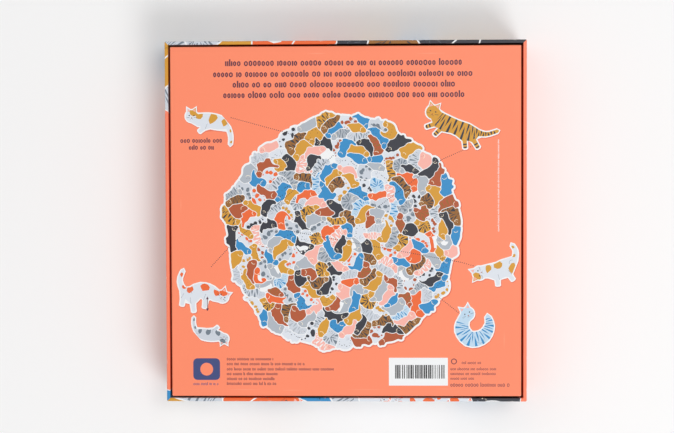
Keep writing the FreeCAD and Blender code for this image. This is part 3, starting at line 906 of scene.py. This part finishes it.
class Builder:
    """Collects points, in millimetres, and faces with materials for one object."""

    def __init__(self):
        self.points, self.faces, self.slots = [], [], []

    def add(self, points, faces, slots):
        start = len(self.points)
        self.points += points
        self.faces += [[start + i for i in face] for face in faces]
        self.slots += [slots] * len(faces) if isinstance(slots, str) else slots

    def finish(self, name):
        used = [slot for slot in MATERIALS if slot in set(self.slots)]
        order = {slot: i for i, slot in enumerate(used)}
        mesh = bpy.data.meshes.new(name)
        mesh.from_pydata([p * MM for p in self.points], [], self.faces)
        for slot in used:
            mesh.materials.append(MATERIALS[slot])
        mesh.polygons.foreach_set("material_index", [order[slot] for slot in self.slots])
        mesh.validate()
        mesh.update()
        return new_object(name, mesh)


def cover(name, drawing, half, height, ground, worn, upside_down):
    """A printed cover: the drawing on its outside, plain paper behind and at its cut edge."""
    fold = Fold(half, height)
    rub_folds(drawing, fold, worn, random.Random(name))
    border, lines = fold.border(), fold.lines()
    sheet = Builder()

    def place(u, v, depth):
        x, y, z = fold.fold(u, v, depth)
        return Vector((x, y, TRAY_HIGH.z - z if upside_down else z))

    # Seen from outside, an upright box's panel faces down, so its triangles are turned round.
    for layer, depth, flip in ((drawing, 0, not upside_down), (Print(), PAPER_BACK, upside_down)):
        flat, triangles, inks = layer.cut(border, lines, ground)
        sheet.add([place(u, v, depth) for u, v in flat],
                  [t[::-1] if flip else t for t in triangles], "paper" if depth else inks)
    width = fold.reach(fold.end)
    for turn in range(4):
        left, right = quarter_turned([(-width, fold.end), (width, fold.end)], turn)
        corners = [place(*end, depth) for end, depth in
                   ((left, 0), (right, 0), (right, PAPER_BACK), (left, PAPER_BACK))]
        sheet.add(corners, [[0, 1, 2, 3] if upside_down else [3, 2, 1, 0]], "paper")
    return sheet.finish(name)


# ---- the print on the tray's back

def words(sheet, x0, x1, y, height, ink, rng, weight=0.2):
    """A line of text stood for by letter-sized marks, small hollow boxes and short bars, whose sizes
    are shares of the text's height."""
    x = x0
    stem = weight * height
    left_in_word = rng.randint(3, 9)
    while x < x1:
        wide = rng.random() < 0.76
        width = height * (rng.uniform(0.64, 0.82) if wide else 0.24)
        top = height * (1.42 if rng.random() < 0.3 else 1.0)
        if x + width > x1:
            break
        if wide:
            top = min(top, height * 1.1)
            c = 0.25 * height
            sheet.fill([(x + c, y), (x + width - c, y), (x + width, y + c), (x + width, y + top - c),
                        (x + width - c, y + top), (x + c, y + top), (x, y + top - c), (x, y + c)], ink)
            sheet.fill(bar(x + stem, y + stem, x + width - stem, y + top - stem), "coral")
        else:
            sheet.fill(bar(x, y, x + stem * 1.1, y + top), ink)
        x += width + 0.17 * height
        left_in_word -= 1
        if left_in_word == 0:
            x += 0.55 * height
            left_in_word = rng.randint(2, 8)


def dotted(sheet, points, ink="charcoal", gap=1.4, size=0.36):
    for a, b in zip(points, points[1:]):
        count = max(1, int(math.dist(a, b) / gap))
        for i in range(count):
            f = i / count
            sheet.fill(ring(a[0] + f * (b[0] - a[0]), a[1] + f * (b[1] - a[1]), size, sides=6), ink)


CLUSTER_CENTRE = (-2.3, -8.1)
CLUSTER_RADIUS = 84.5
CLUSTER_SCALES = (0.31, 0.34, 0.37)
CLUSTER_CELL = 0.75         # of the grid on which animals are fitted
CLUSTER_SWELL_CELL = 0.4    # of the finer grid on which they grow
CLUSTER_HALF = 96.0         # half the width of the grid that the cluster is fitted on
PIECES_IN_ALL = 300
DOG_AT = 140
FULLER = 1.35               # coats are drawn wider than the animals, which have grown


def cluster(rng):
    """Every piece of the puzzle at a reduced scale, fitted together into a rough disc, and the
    outlines of the pieces there."""
    kinds = [CATS[i % len(CATS)] for i in range(PIECES_IN_ALL - 1)]
    rng.shuffle(kinds)
    kinds.insert(DOG_AT, "dog")
    origin = (CLUSTER_CENTRE[0] - CLUSTER_HALF, CLUSTER_CENTRE[1] - CLUSTER_HALF)

    def grids(pitch, spare):
        x, y = cell_centres(CLUSTER_HALF, pitch)
        distance, angle = np.hypot(x, y), np.arctan2(y, x)
        wavy = CLUSTER_RADIUS * (1 + 0.02 * np.sin(5 * angle) + 0.015 * np.sin(11 * angle + 1))
        uneven = 9 * np.sin(x / 9 + 1.3) * np.sin(y / 11) + 5 * np.sin((x + y) / 7)
        return distance < wavy + spare, distance + uneven

    placed = fit_together(kinds, *grids(CLUSTER_CELL, spare=0.0), origin, CLUSTER_CELL, CLUSTER_SCALES,
                          tries=8, rng=rng)
    room, _ = grids(CLUSTER_SWELL_CELL, spare=-2.0)
    return placed, swollen(placed, room, origin, CLUSTER_SWELL_CELL, reach=4.8, gap=0.42)


def draw_cluster(sheet, rng):
    placed, loops = cluster(rng)
    coats = mixed_coats(placed, near=13.0, rng=rng)
    cx, cy = CLUSTER_CENTRE
    for grow, ink, dx, dy in ((1.9, "coral_shade", 0.35, -0.45), (1.4, "white", 0, 0)):
        sheet.fill(ring(cx + dx, cy + dy, CLUSTER_RADIUS - 12, sides=48), ink)
        for (_, place), loop in zip(placed, loops):
            if math.dist((place.x, place.y), CLUSTER_CENTRE) > CLUSTER_RADIUS - 26:
                sheet.fill([(x + dx, y + dy) for x, y in inset(loop, -grow)], ink)
    for (kind, place), coat, loop in zip(placed, coats, loops):
        pose = POSES[kind]
        fuller = {**pose, "spine": [(x, y, FULLER * r) for x, y, r in pose["spine"]]}
        dress(sheet, fuller, place, coat, loop, rng, fine=False)


def centred(kind, x, y, *how):
    """Place that puts the middle of an animal's outline at x, y."""
    loop = np.array(Place(0, 0, *how)(outline(POSES[kind])))
    middle = (loop.min(0) + loop.max(0)) / 2
    return Place(x - middle[0], y - middle[1], *how)


# Cats beside the cluster, as (kind, x, y, scale, turn, mirrored, coat)
SINGLES = (
    ("lying", -96.5, 67.5, 0.86, math.pi - 0.12, True, "calico"),
    ("running", 82.5, 68.0, 1.08, math.pi - 0.30, True, "tiger"),
    ("arched", -100.4, -48.7, 0.98, 0.0, False, "cow"),
    ("curled", 91.1, -73.5, 0.94, 1.25, False, "sky"),
    ("upright", 104.5, -30.5, 0.95, 0.12 - math.pi / 2, True, "calico"),
    ("lying", -96.5, -77.5, 0.66, -0.1, True, "smoke"),
)
# Dotted lines from them into the cluster
LEADERS = (
    ((-80.8, 73.9), (-44.6, 63.9), (-18, 55.6)), ((90.9, 53.8), (68.3, 43.8), (20.6, 8.8)),
    ((91.6, -31.9), (82.4, -29.1), (-43, -5.8)), ((82.8, -67), (65.1, -53)),
    ((-95.5, -31.6), (-80, -15), (-7.6, 47.7)),
)
# Lines of text as (left end, right end, foot, height)
HEADING = (
    (-84.9, 83.8, 110.3, 3.4), (-93.4, 92.3, 102.5, 3.4), (-79.6, 78.5, 95.1, 3.4),
    (-86.3, 85.2, 87.7, 3.4), (-117.0, -85.5, 56.2, 2.5), (-111.0, -92.0, 51.3, 2.5),
)
SMALL_PRINT = tuple((-84.9, right, foot, 1.6) for right, foot in (
    (-50.8, -98.6), (-28.4, -102.1), (-8.3, -105.8), (-47.3, -109.2), (-50.5, -112.7), (-48.9, -116.2)))
SAFETY_LINES = ((82.0, 97.0, -101.2, 1.5), (74.0, 106.3, -105.6, 1.5), (74.0, 106.3, -109.0, 1.5),
                (74.0, 92.0, -112.4, 1.5), (74.0, 116.7, -117.3, 2.1))
# Long shallow scuffs, most of them near the foot of the panel, as (x, y, half length each way)
SCUFFS = ((-72, -119.5, 13, 0.35), (-38, -119.9, 10, 0.35), (14, -119.3, 15, 0.35),
          (70, -118.9, 9, 0.35), (112, -84, 0.35, 7), (-117, 12, 0.35, 5.5), (60, 118.6, 11, 0.35),
          (-20, 118.9, 7.5, 0.35))


def print_foot(sheet, rng):
    """Foot of the panel: a plain block, lines of small print, barcode panel and marks."""
    sheet.fill(rounded(-108.9, -112.6, -89.8, -97.1, 3.0), "navy")
    sheet.fill(ring(-99.3, -104.9, 4.6, sides=20), "coral")
    words(sheet, -108.9, -89.8, -116.3, 1.5, "navy", rng)
    for line in SMALL_PRINT:
        words(sheet, *line, "text", rng, 0.22)
    sheet.fill(bar(30.4, -116.5, 72.2, -96.7), "white")
    x = 34.8
    while x < 69.2:
        width = rng.choice((0.33, 0.66, 0.66, 0.99))
        sheet.fill(bar(x, -111.5, x + width, -101.8), "black")
        x += width + rng.choice((0.33, 0.33, 0.66, 0.99))
    for radius, ink in ((2.1, "text"), (1.5, "coral")):
        sheet.fill(ring(76.5, -99.3, radius, sides=16), ink)
    for line in SAFETY_LINES:
        words(sheet, *line, "text", rng)
    upright_line = Print()
    words(upright_line, -7.1, 58.2, -0.5, 0.9, "white", rng)
    for points, ink, _ in upright_line.shapes:
        sheet.fill([(108.0 - y, x) for x, y in points], ink)


def back_print():
    """Everything printed on the tray's back, in millimetres from its middle."""
    rng = random.Random(11)
    sheet = Print()
    for line in HEADING:
        words(sheet, *line, "text", rng, 0.27)
    draw_cluster(sheet, rng)
    for points in LEADERS:
        dotted(sheet, points)
    for kind, x, y, *how, coat in SINGLES:
        place = centred(kind, x, y, *how)
        shadow = centred(kind, x + 0.35, y - 0.5, *how)
        sheet.fill(shadow(outline(POSES[kind], 1.1 / place.scale)), "coral_shade")
        sheet.fill(place(outline(POSES[kind], 0.95 / place.scale)), "white")
        dress(sheet, POSES[kind], place, coat, place(outline(POSES[kind])), rng)

    # An arrow with two heads, between two of the cats
    sheet.fill(stroke((-98.5, -53.5), (-98.5, -63.0), 0.45), "text")
    for y, way in ((-53.0, 1), (-63.5, -1)):
        sheet.fill([(-98.5, y), (-99.5, y - 2 * way), (-97.5, y - 2 * way)], "text")
    for x, y, half_x, half_y in SCUFFS:
        sheet.fill([(x - half_x, y), (x, y - half_y), (x + half_x, y), (x, y + half_y)], "scuff")
    print_foot(sheet, rng)
    return sheet


# ---- the print on the lid

LID_CELL = 1.6
LID_SWELL_CELL = 1.0
LID_CATS = 130              # more than fit into either area
LID_SCALES = (1.0, 1.1, 0.95)
NET_HALF = 202.0            # a square of this half width holds the lid's flat sheet
RIM_AT = 174.0              # how far from the sheet's middle the rim is folded
BESIDE_RIM = 15
# Coats of the cats along the rim, each with the place along the rim where it ends
UPPER_ROW = (
    (-94, "milk"), (-72, "honey"), (-58, "mist"), (-47, "ginger"), (-31, "milk"), (-17, "flame"),
    (31, "black"), (50, "bark"), (67, "flame"), (88, "black"), (102, "blue"), (140, "black"),
)
LOWER_ROW = (
    (-118, "black"), (-82, "milk"), (-52, "flame"), (-33, "black"), (-20, "blue"), (0, "milk"),
    (13, "honey"), (85, "cow"), (117, "black"), (140, "ginger"),
)
LEFT_ROW = ((82, "blue"), (104, "milk"), (118, "honey"), (140, "flame"))
RIGHT_ROW = ((114, "milk"), (140, "honey"))


def coat_beside_rim(place, coat):
    """The coat set for the rim where this cat crosses it, or the one given."""
    for across, along, row in ((place.y, place.x, UPPER_ROW), (-place.y, place.x, LOWER_ROW),
                               (-place.x, place.y, LEFT_ROW), (place.x, place.y, RIGHT_ROW)):
        if abs(across - RIM_AT) < BESIDE_RIM:
            for limit, name in row:
                if along < limit:
                    return name
    return coat


def lid_areas(pitch):
    """Where the lid's flat sheet has cats: grids of the upper area and the lower one, each with the
    order in which it is filled."""
    x, y = cell_centres(NET_HALF, pitch)
    net = np.minimum(abs(x), abs(y)) < LID_HALF + 8
    upper = net & (y > 87 + 0.16 * (x + LID_HALF))
    lower = net & (y < -120) & (x < 122)
    return (upper, y - 0.1 * x), (lower, -y - 0.1 * x)


def lid_print():
    """Life-size cats over the upper and lower walls and the ends of the side walls."""
    rng = random.Random(5)
    sheet = Print()
    corner = (-NET_HALF, -NET_HALF)
    for (room, cost), (fine_room, _) in zip(lid_areas(LID_CELL), lid_areas(LID_SWELL_CELL)):
        kinds = [rng.choice(CATS) for _ in range(LID_CATS)]
        placed = fit_together(kinds, room, cost, corner, LID_CELL, LID_SCALES, tries=6, rng=rng)
        coats = mixed_coats(placed, near=36.0, rng=rng)
        loops = swollen(placed, fine_room, corner, LID_SWELL_CELL, reach=9.0, gap=1.0)
        for (kind, place), coat, loop in zip(placed, coats, loops):
            coat = coat_beside_rim(place, coat)
            sheet.fill(inset(loop, -0.6), "white")
            dress(sheet, POSES[kind], place, coat, loop, rng)
    return sheet


tray_cover = cover("tray_cover", back_print(), TRAY_HALF, TRAY_HIGH.z - TRAY_LOW.z, "coral",
                   "coral_worn", upside_down=True)
lid_cover = cover("lid_cover", lid_print(), LID_HALF, LID_HIGH.z, "salmon", "paper_core",
                  upside_down=False)
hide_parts("tray_wrap")
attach(tray_cover, "tray")
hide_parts("lid_wrap")
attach(lid_cover, "lid")

for node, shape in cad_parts.items():
    if node.endswith("_board") or "stay" in node:
        shape.data.materials.clear()
        shape.data.materials.append(GREY_BOARD if node.endswith("_board") else TAPE)


# ---- the loose pieces

PIECE_THICKNESS = 1.9
FACE_DROP = 0.3             # the printed face rounds over this far down its edge
FACE_INSET = 0.18
BODY_INSET = 0.75           # the white border that a piece keeps round its animal
MATCH_WITHIN = 0.05         # how well a piece's corners have to fit their outline


def islands(node):
    """The separate pieces of a CAD node, each as points in millimetres and faces."""
    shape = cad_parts[node]
    numbers, points, welded = {}, [], []
    for vertex in shape.data.vertices:
        point = shape.matrix_world @ vertex.co * IN_MM
        key = tuple(round(value * 1000) for value in point)
        if key not in numbers:
            numbers[key] = len(points)
            points.append(point)
        welded.append(numbers[key])
    parent = list(range(len(points)))

    def root(i):
        while parent[i] != i:
            parent[i] = parent[parent[i]]
            i = parent[i]
        return i

    faces = [[welded[i] for i in polygon.vertices] for polygon in shape.data.polygons]
    for face in faces:
        for i in face[1:]:
            parent[root(i)] = root(face[0])
    groups = {}
    for face in faces:
        groups.setdefault(root(face[0]), []).append(face)
    for group in groups.values():
        yield compact(points, group)


def lying_plane(points, faces):
    """How a piece is tilted, as a rotation, and its height and upper corners once it is level."""
    up = Vector((0, 0, 0))
    for face in faces:
        a, b, c = (points[i] for i in face[:3])
        normal = (b - a).cross(c - a)
        if normal.length > 0 and abs(normal.z) > 0.8 * normal.length:
            up += normal if normal.z > 0 else -normal
    tilt = Vector((0, 0, 1)).rotation_difference(up)
    level = [tilt.inverted() @ p for p in points]
    top = max(p.z for p in level)
    return tilt, top, np.array([(p.x, p.y) for p in level if p.z > top - PIECE_THICKNESS / 2])


def matching_place(kind, corners):
    """How far the kind's outline is off these corners at best, and the Place that puts it there."""
    template = np.array(outline(POSES[kind]))
    middle, centre = template.mean(0), corners.mean(0)
    shape, there = template - middle, corners - centre
    scale = math.sqrt((there ** 2).sum() / (shape ** 2).sum() * len(shape) / len(there))
    best = (math.inf, None)
    for mirrored in (False, True):
        flip = np.array([1, -1 if mirrored else 1]) * scale
        turned = shape * flip
        far = turned[int((turned ** 2).sum(1).argmax())]
        for x, y in there:
            if abs(math.hypot(x, y) - math.hypot(*far)) > 0.3:
                continue
            turn = math.atan2(y, x) - math.atan2(far[1], far[0])
            rotation = np.array([[math.cos(turn), math.sin(turn)], [-math.sin(turn), math.cos(turn)]])
            moved = turned @ rotation
            gaps = np.hypot(moved[:, None, 0] - there[None, :, 0], moved[:, None, 1] - there[None, :, 1])
            off = float(gaps.min(1).max())
            if off < best[0]:
                shift = centre - (middle * flip) @ rotation
                best = (off, Place(shift[0], shift[1], scale, turn, mirrored))
    return best


def loose_piece(pile, kind, place, tilt, top, rng):
    """Adds one die-cut piece: board below, a printed face with rounded edges above, or the other way
    up for a piece that lies face down."""
    flat = Place(0, 0, place.scale)
    loop = anticlockwise(flat(outline(POSES[kind])))
    sheet = Print()
    dress(sheet, POSES[kind], flat, pick_coat(rng), inset(loop, BODY_INSET), rng)
    face_loop = inset(loop, FACE_INSET)

    def add(points, faces, slots):
        placed = []
        for x, y, z in points:
            if place.mirrored:
                y, z = -y, -PIECE_THICKNESS - z
            placed.append(tilt @ Vector((place.x + x * place.cos - y * place.sin,
                                         place.y + x * place.sin + y * place.cos, top + z)))
        pile.add(placed, faces, slots)

    count = len(loop)
    levels = ((loop, -PIECE_THICKNESS), (loop, -FACE_DROP),
              (inset(loop, 0.3 * FACE_INSET), -0.3 * FACE_DROP), (face_loop, 0.0))
    bands = [[a + i, a + (i + 1) % count, a + count + (i + 1) % count, a + count + i]
             for a in (0, count, 2 * count) for i in range(count)]
    add([(x, y, z) for corners, z in levels for x, y in corners], bands,
        ["chip"] * count + ["white"] * 2 * count)
    under, back, _ = Print().cut(loop)
    add([(x, y, -PIECE_THICKNESS) for x, y in under], [t[::-1] for t in back], "chip")
    printed, triangles, inks = sheet.cut(face_loop, (), "white")
    add([(x, y, 0.0) for x, y in printed], triangles, inks)


def loose_pieces():
    """One object for every node of loose pieces; returns the outline and plane of each piece."""
    rng = random.Random(17)
    resting = []
    for kind in POSES:
        node = "puzzle_dog" if kind == "dog" else "cats_" + kind
        pile = Builder()
        for points, faces in islands(node):
            tilt, top, corners = lying_plane(points, faces)
            off, place = matching_place(kind, corners)
            if off > MATCH_WITHIN:
                raise ValueError(f"a piece of {node} matches no outline: {off:.3f} mm off")
            loose_piece(pile, kind, place, tilt, top, rng)
            resting.append((kind, place, tilt, top))
        made = pile.finish(node.replace("cats", "printed_cats").replace("puzzle", "printed"))
        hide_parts(node)
        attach(made, "bag")
    return resting


# ---- the film bag

BAG_CELL = 1.4
BAG_SMOOTHING = 260         # rounds of settling; the film is then taut between the pieces it touches
FILM_GAP = 0.45             # clear height between a piece and the film above it
PIECE_MARGIN = 1.6          # the film keeps this far from the sides of a piece
CLEAR = 0.12                # clear height inside the CAD bag's top, and between a piece and film below
CREASES = 34
SEAL_THICKNESS = 0.3
SEAL_RIDGES = 12
SEAL_STEPS = 72


def bag_limits():
    """Half width and height of the bag's underside, its seams and its top, and how far its seals
    reach outwards and along, from the CAD bag."""
    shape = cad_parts["pieces_bag"]
    points = np.array([shape.matrix_world @ v.co for v in shape.data.vertices]) * IN_MM
    x, y, z = abs(points[:, 0]), abs(points[:, 1]), points[:, 2]
    low, high, half = z.min(), z.max(), y.max()
    ends = x > half + 1
    return ((y[z < low + 0.01].max(), low), (half, z[y > half - 0.01].mean()),
            (y[z > high - 0.01].max(), high), x[ends].max(), y[ends].max())


def heap_grids(resting, axis, high):
    """Heights of the heap's upper and lower side, in cells round the points of a square grid."""
    count, half, pitch = len(axis) - 1, axis[-1], axis[1] - axis[0]
    upper = np.zeros((count + 1, count + 1))
    lower = np.full_like(upper, high)
    for kind, place, tilt, top in resting:
        wide = outline(POSES[kind], PIECE_MARGIN / place.scale, *COARSE)
        loop = [tilt @ Vector((x, y, top)) for x, y in place(wide)]
        mask, corner = stamp([(p.x + half + pitch / 2, p.y + half + pitch / 2) for p in loop], pitch)
        rows, columns = np.nonzero(mask)
        rows, columns = rows + corner[1], columns + corner[0]
        fits = (rows >= 0) & (rows <= count) & (columns >= 0) & (columns <= count)
        rows, columns = rows[fits], columns[fits]
        up = tilt @ Vector((0, 0, 1))
        height = (up.dot(loop[0]) - up.x * axis[columns] - up.y * axis[rows]) / up.z
        np.maximum.at(upper, (rows, columns), height)
        np.minimum.at(lower, (rows, columns), height - PIECE_THICKNESS)
    return upper, lower


def creased(x, y, half):
    """How far creases lift the film: short ones all over, and those pulled in by the seals."""
    rng = random.Random(3)
    lift = np.zeros((len(y), x.shape[1]))
    for _ in range(CREASES):
        angle, length = rng.uniform(0, math.pi), rng.uniform(6, 30)
        phase = rng.uniform(0, 2 * math.pi)
        c, n = math.cos(angle), math.sin(angle)
        wave = np.sin((x * c + y * n) * 2 * math.pi / length + phase)
        bend = np.sin((y * c - x * n) * 2 * math.pi / (3.1 * length) + 2 * phase)
        lift += np.clip(1 - abs(wave + 0.5 * bend), 0, 1) ** 4 * length / CREASES
    pulled = np.exp(-(half - abs(x)) / 14) * (1 + np.sin(y * 2 * math.pi / 13.0 + 0.5 * np.sin(y / 7)))
    return 0.75 * lift + 1.1 * pulled - 0.8


def grid_faces(rows, columns, start=0):
    """Quads of a grid whose points are numbered row by row."""
    corners = [start + j * (columns + 1) + i for j in range(rows) for i in range(columns)]
    return [[a, a + 1, a + columns + 2, a + columns + 1] for a in corners]


def add_seal(bag, side, half, end, seal_half, seam):
    """One crimped seal: two layers of ridged film, closed all round."""
    size = (SEAL_RIDGES + 1) * (SEAL_STEPS + 1)
    points = []
    for level in (1, -1):
        for j in range(SEAL_STEPS + 1):
            y = seal_half * (2 * j / SEAL_STEPS - 1)
            for i in range(SEAL_RIDGES + 1):
                f = i / SEAL_RIDGES
                toothed = 0.5 if i == SEAL_RIDGES and j % 2 else 0
                wave = 0.35 * f * math.sin(y / 9.0) + (0.22 if i % 2 else 0)
                points.append(Vector((side * (half + f * (end - half) - toothed), y,
                                      seam + wave + level * SEAL_THICKNESS / 2)))
    over = grid_faces(SEAL_STEPS, SEAL_RIDGES)
    under = [[i + size for i in quad[::-1]] for quad in over]
    row = SEAL_RIDGES + 1
    rim = [j * row for j in range(SEAL_STEPS + 1)] + [SEAL_STEPS * row + i for i in range(1, row)]
    rim += [j * row + SEAL_RIDGES for j in range(SEAL_STEPS - 1, -1, -1)]
    rim += list(range(SEAL_RIDGES - 1, 0, -1))
    around = [[a, b, b + size, a + size] for a, b in zip(rim, rim[1:] + rim[:1])]
    bag.add(points, [quad if side > 0 else quad[::-1] for quad in over + under + around], "film")


def film_bag(resting):
    """The bag draped over its pieces, with crimped seals at two ends."""
    (under, low), (half, seam), (over, high), end, seal_half = bag_limits()
    count = int(2 * half / BAG_CELL)
    axis = np.linspace(-half, half, count + 1)
    x, y = axis[None, :], axis[:, None]
    span = np.maximum(abs(x), abs(y))
    edge = span > half - 1e-6
    ceiling = np.clip(high - (span - over) * (high - seam) / (half - over), seam, high) - CLEAR
    cellar = np.clip(low + (span - under) * (seam - low) / (half - under), low, seam)
    upper, lower = heap_grids(resting, axis, high)

    rest = np.minimum(upper + FILM_GAP, ceiling)
    film = np.where(edge, seam, np.maximum(rest, seam))
    for _ in range(BAG_SMOOTHING):
        around = (np.roll(film, 1, 0) + np.roll(film, -1, 0) + np.roll(film, 1, 1) + np.roll(film, -1, 1)) / 4
        film = np.where(edge, seam, np.clip(around, rest, ceiling))
    film = np.where(edge, seam, np.clip(film + creased(x, y, half), rest, ceiling))
    rising = np.clip((span - under + 3) / (half - under + 3), 0, 1) ** 2.2
    sag = np.minimum(low + (seam - low) * rising, np.minimum(lower - CLEAR, seam))
    sag = np.where(edge, seam, np.maximum(sag, cellar + 0.02))

    bag = Builder()
    points = [Vector((px, py, surface[j][i])) for surface in (film, sag)
              for j, py in enumerate(axis) for i, px in enumerate(axis)]
    under_faces = [[a, d, c, b] for a, b, c, d in grid_faces(count, count, (count + 1) ** 2)]
    bag.add(points, grid_faces(count, count) + under_faces, "film")
    for side in (-1, 1):
        add_seal(bag, side, half, end, seal_half, seam)
    made = bag.finish("film_bag")
    made.data.polygons.foreach_set("use_smooth", [True] * len(made.data.polygons))
    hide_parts("pieces_bag")
    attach(made, "bag")


film_bag(loose_pieces())


# ---- floor, light and camera

FLOOR_HALF = 6.0
FLOOR_DROP = 0.0004


def floor():
    n = Nodes("floor")
    mesh = bpy.data.meshes.new("floor")
    mesh.from_pydata([(x, y, 0) for x, y in bar(-FLOOR_HALF, -FLOOR_HALF, FLOOR_HALF, FLOOR_HALF)], [],
                     [(0, 1, 2, 3)])
    mesh.materials.append(n.finish((n.noise(60, 4.0), 0.00005), Roughness=0.6,
                                   Base_Color=(0.93, 0.93, 0.93, 1)))
    made = new_object("floor", mesh)
    made.location.z = -FLOOR_DROP


def lamp(name, place, size, power):
    """A square lamp turned towards the box."""
    data = bpy.data.lights.new(name, "AREA")
    data.shape = "RECTANGLE"
    data.size, data.size_y = size, size
    data.energy = power
    made = new_object(name, data)
    made.location = place
    made.rotation_mode = "QUATERNION"
    made.rotation_quaternion = (-Vector(place)).to_track_quat("-Z", "Y")


floor()
lamp("key", (1.3, -1.9, 2.7), size=1.5, power=48.5)
lamp("fill", (-1.6, 1.2, 2.6), size=2.2, power=8)
lamp("overhead", (0.50, 0.34, 1.9), size=0.6, power=6.5)
world = bpy.data.worlds.new("studio")
world.use_nodes = True
world.node_tree.nodes["Background"].inputs["Color"].default_value = (1, 1, 1, 1)
world.node_tree.nodes["Background"].inputs["Strength"].default_value = 0.52
bpy.context.scene.world = world
bpy.context.scene.view_settings.view_transform = "Standard"

camera_data = bpy.data.cameras.new("camera")
camera_data.lens = 85
camera_data.sensor_width = 36
camera = new_object("camera", camera_data)
camera.location = (0.0306, 0.0419, 1.1737)
camera.rotation_euler = [math.radians(angle) for angle in (-1.950, 1.858, -0.207)]
bpy.context.scene.camera = camera
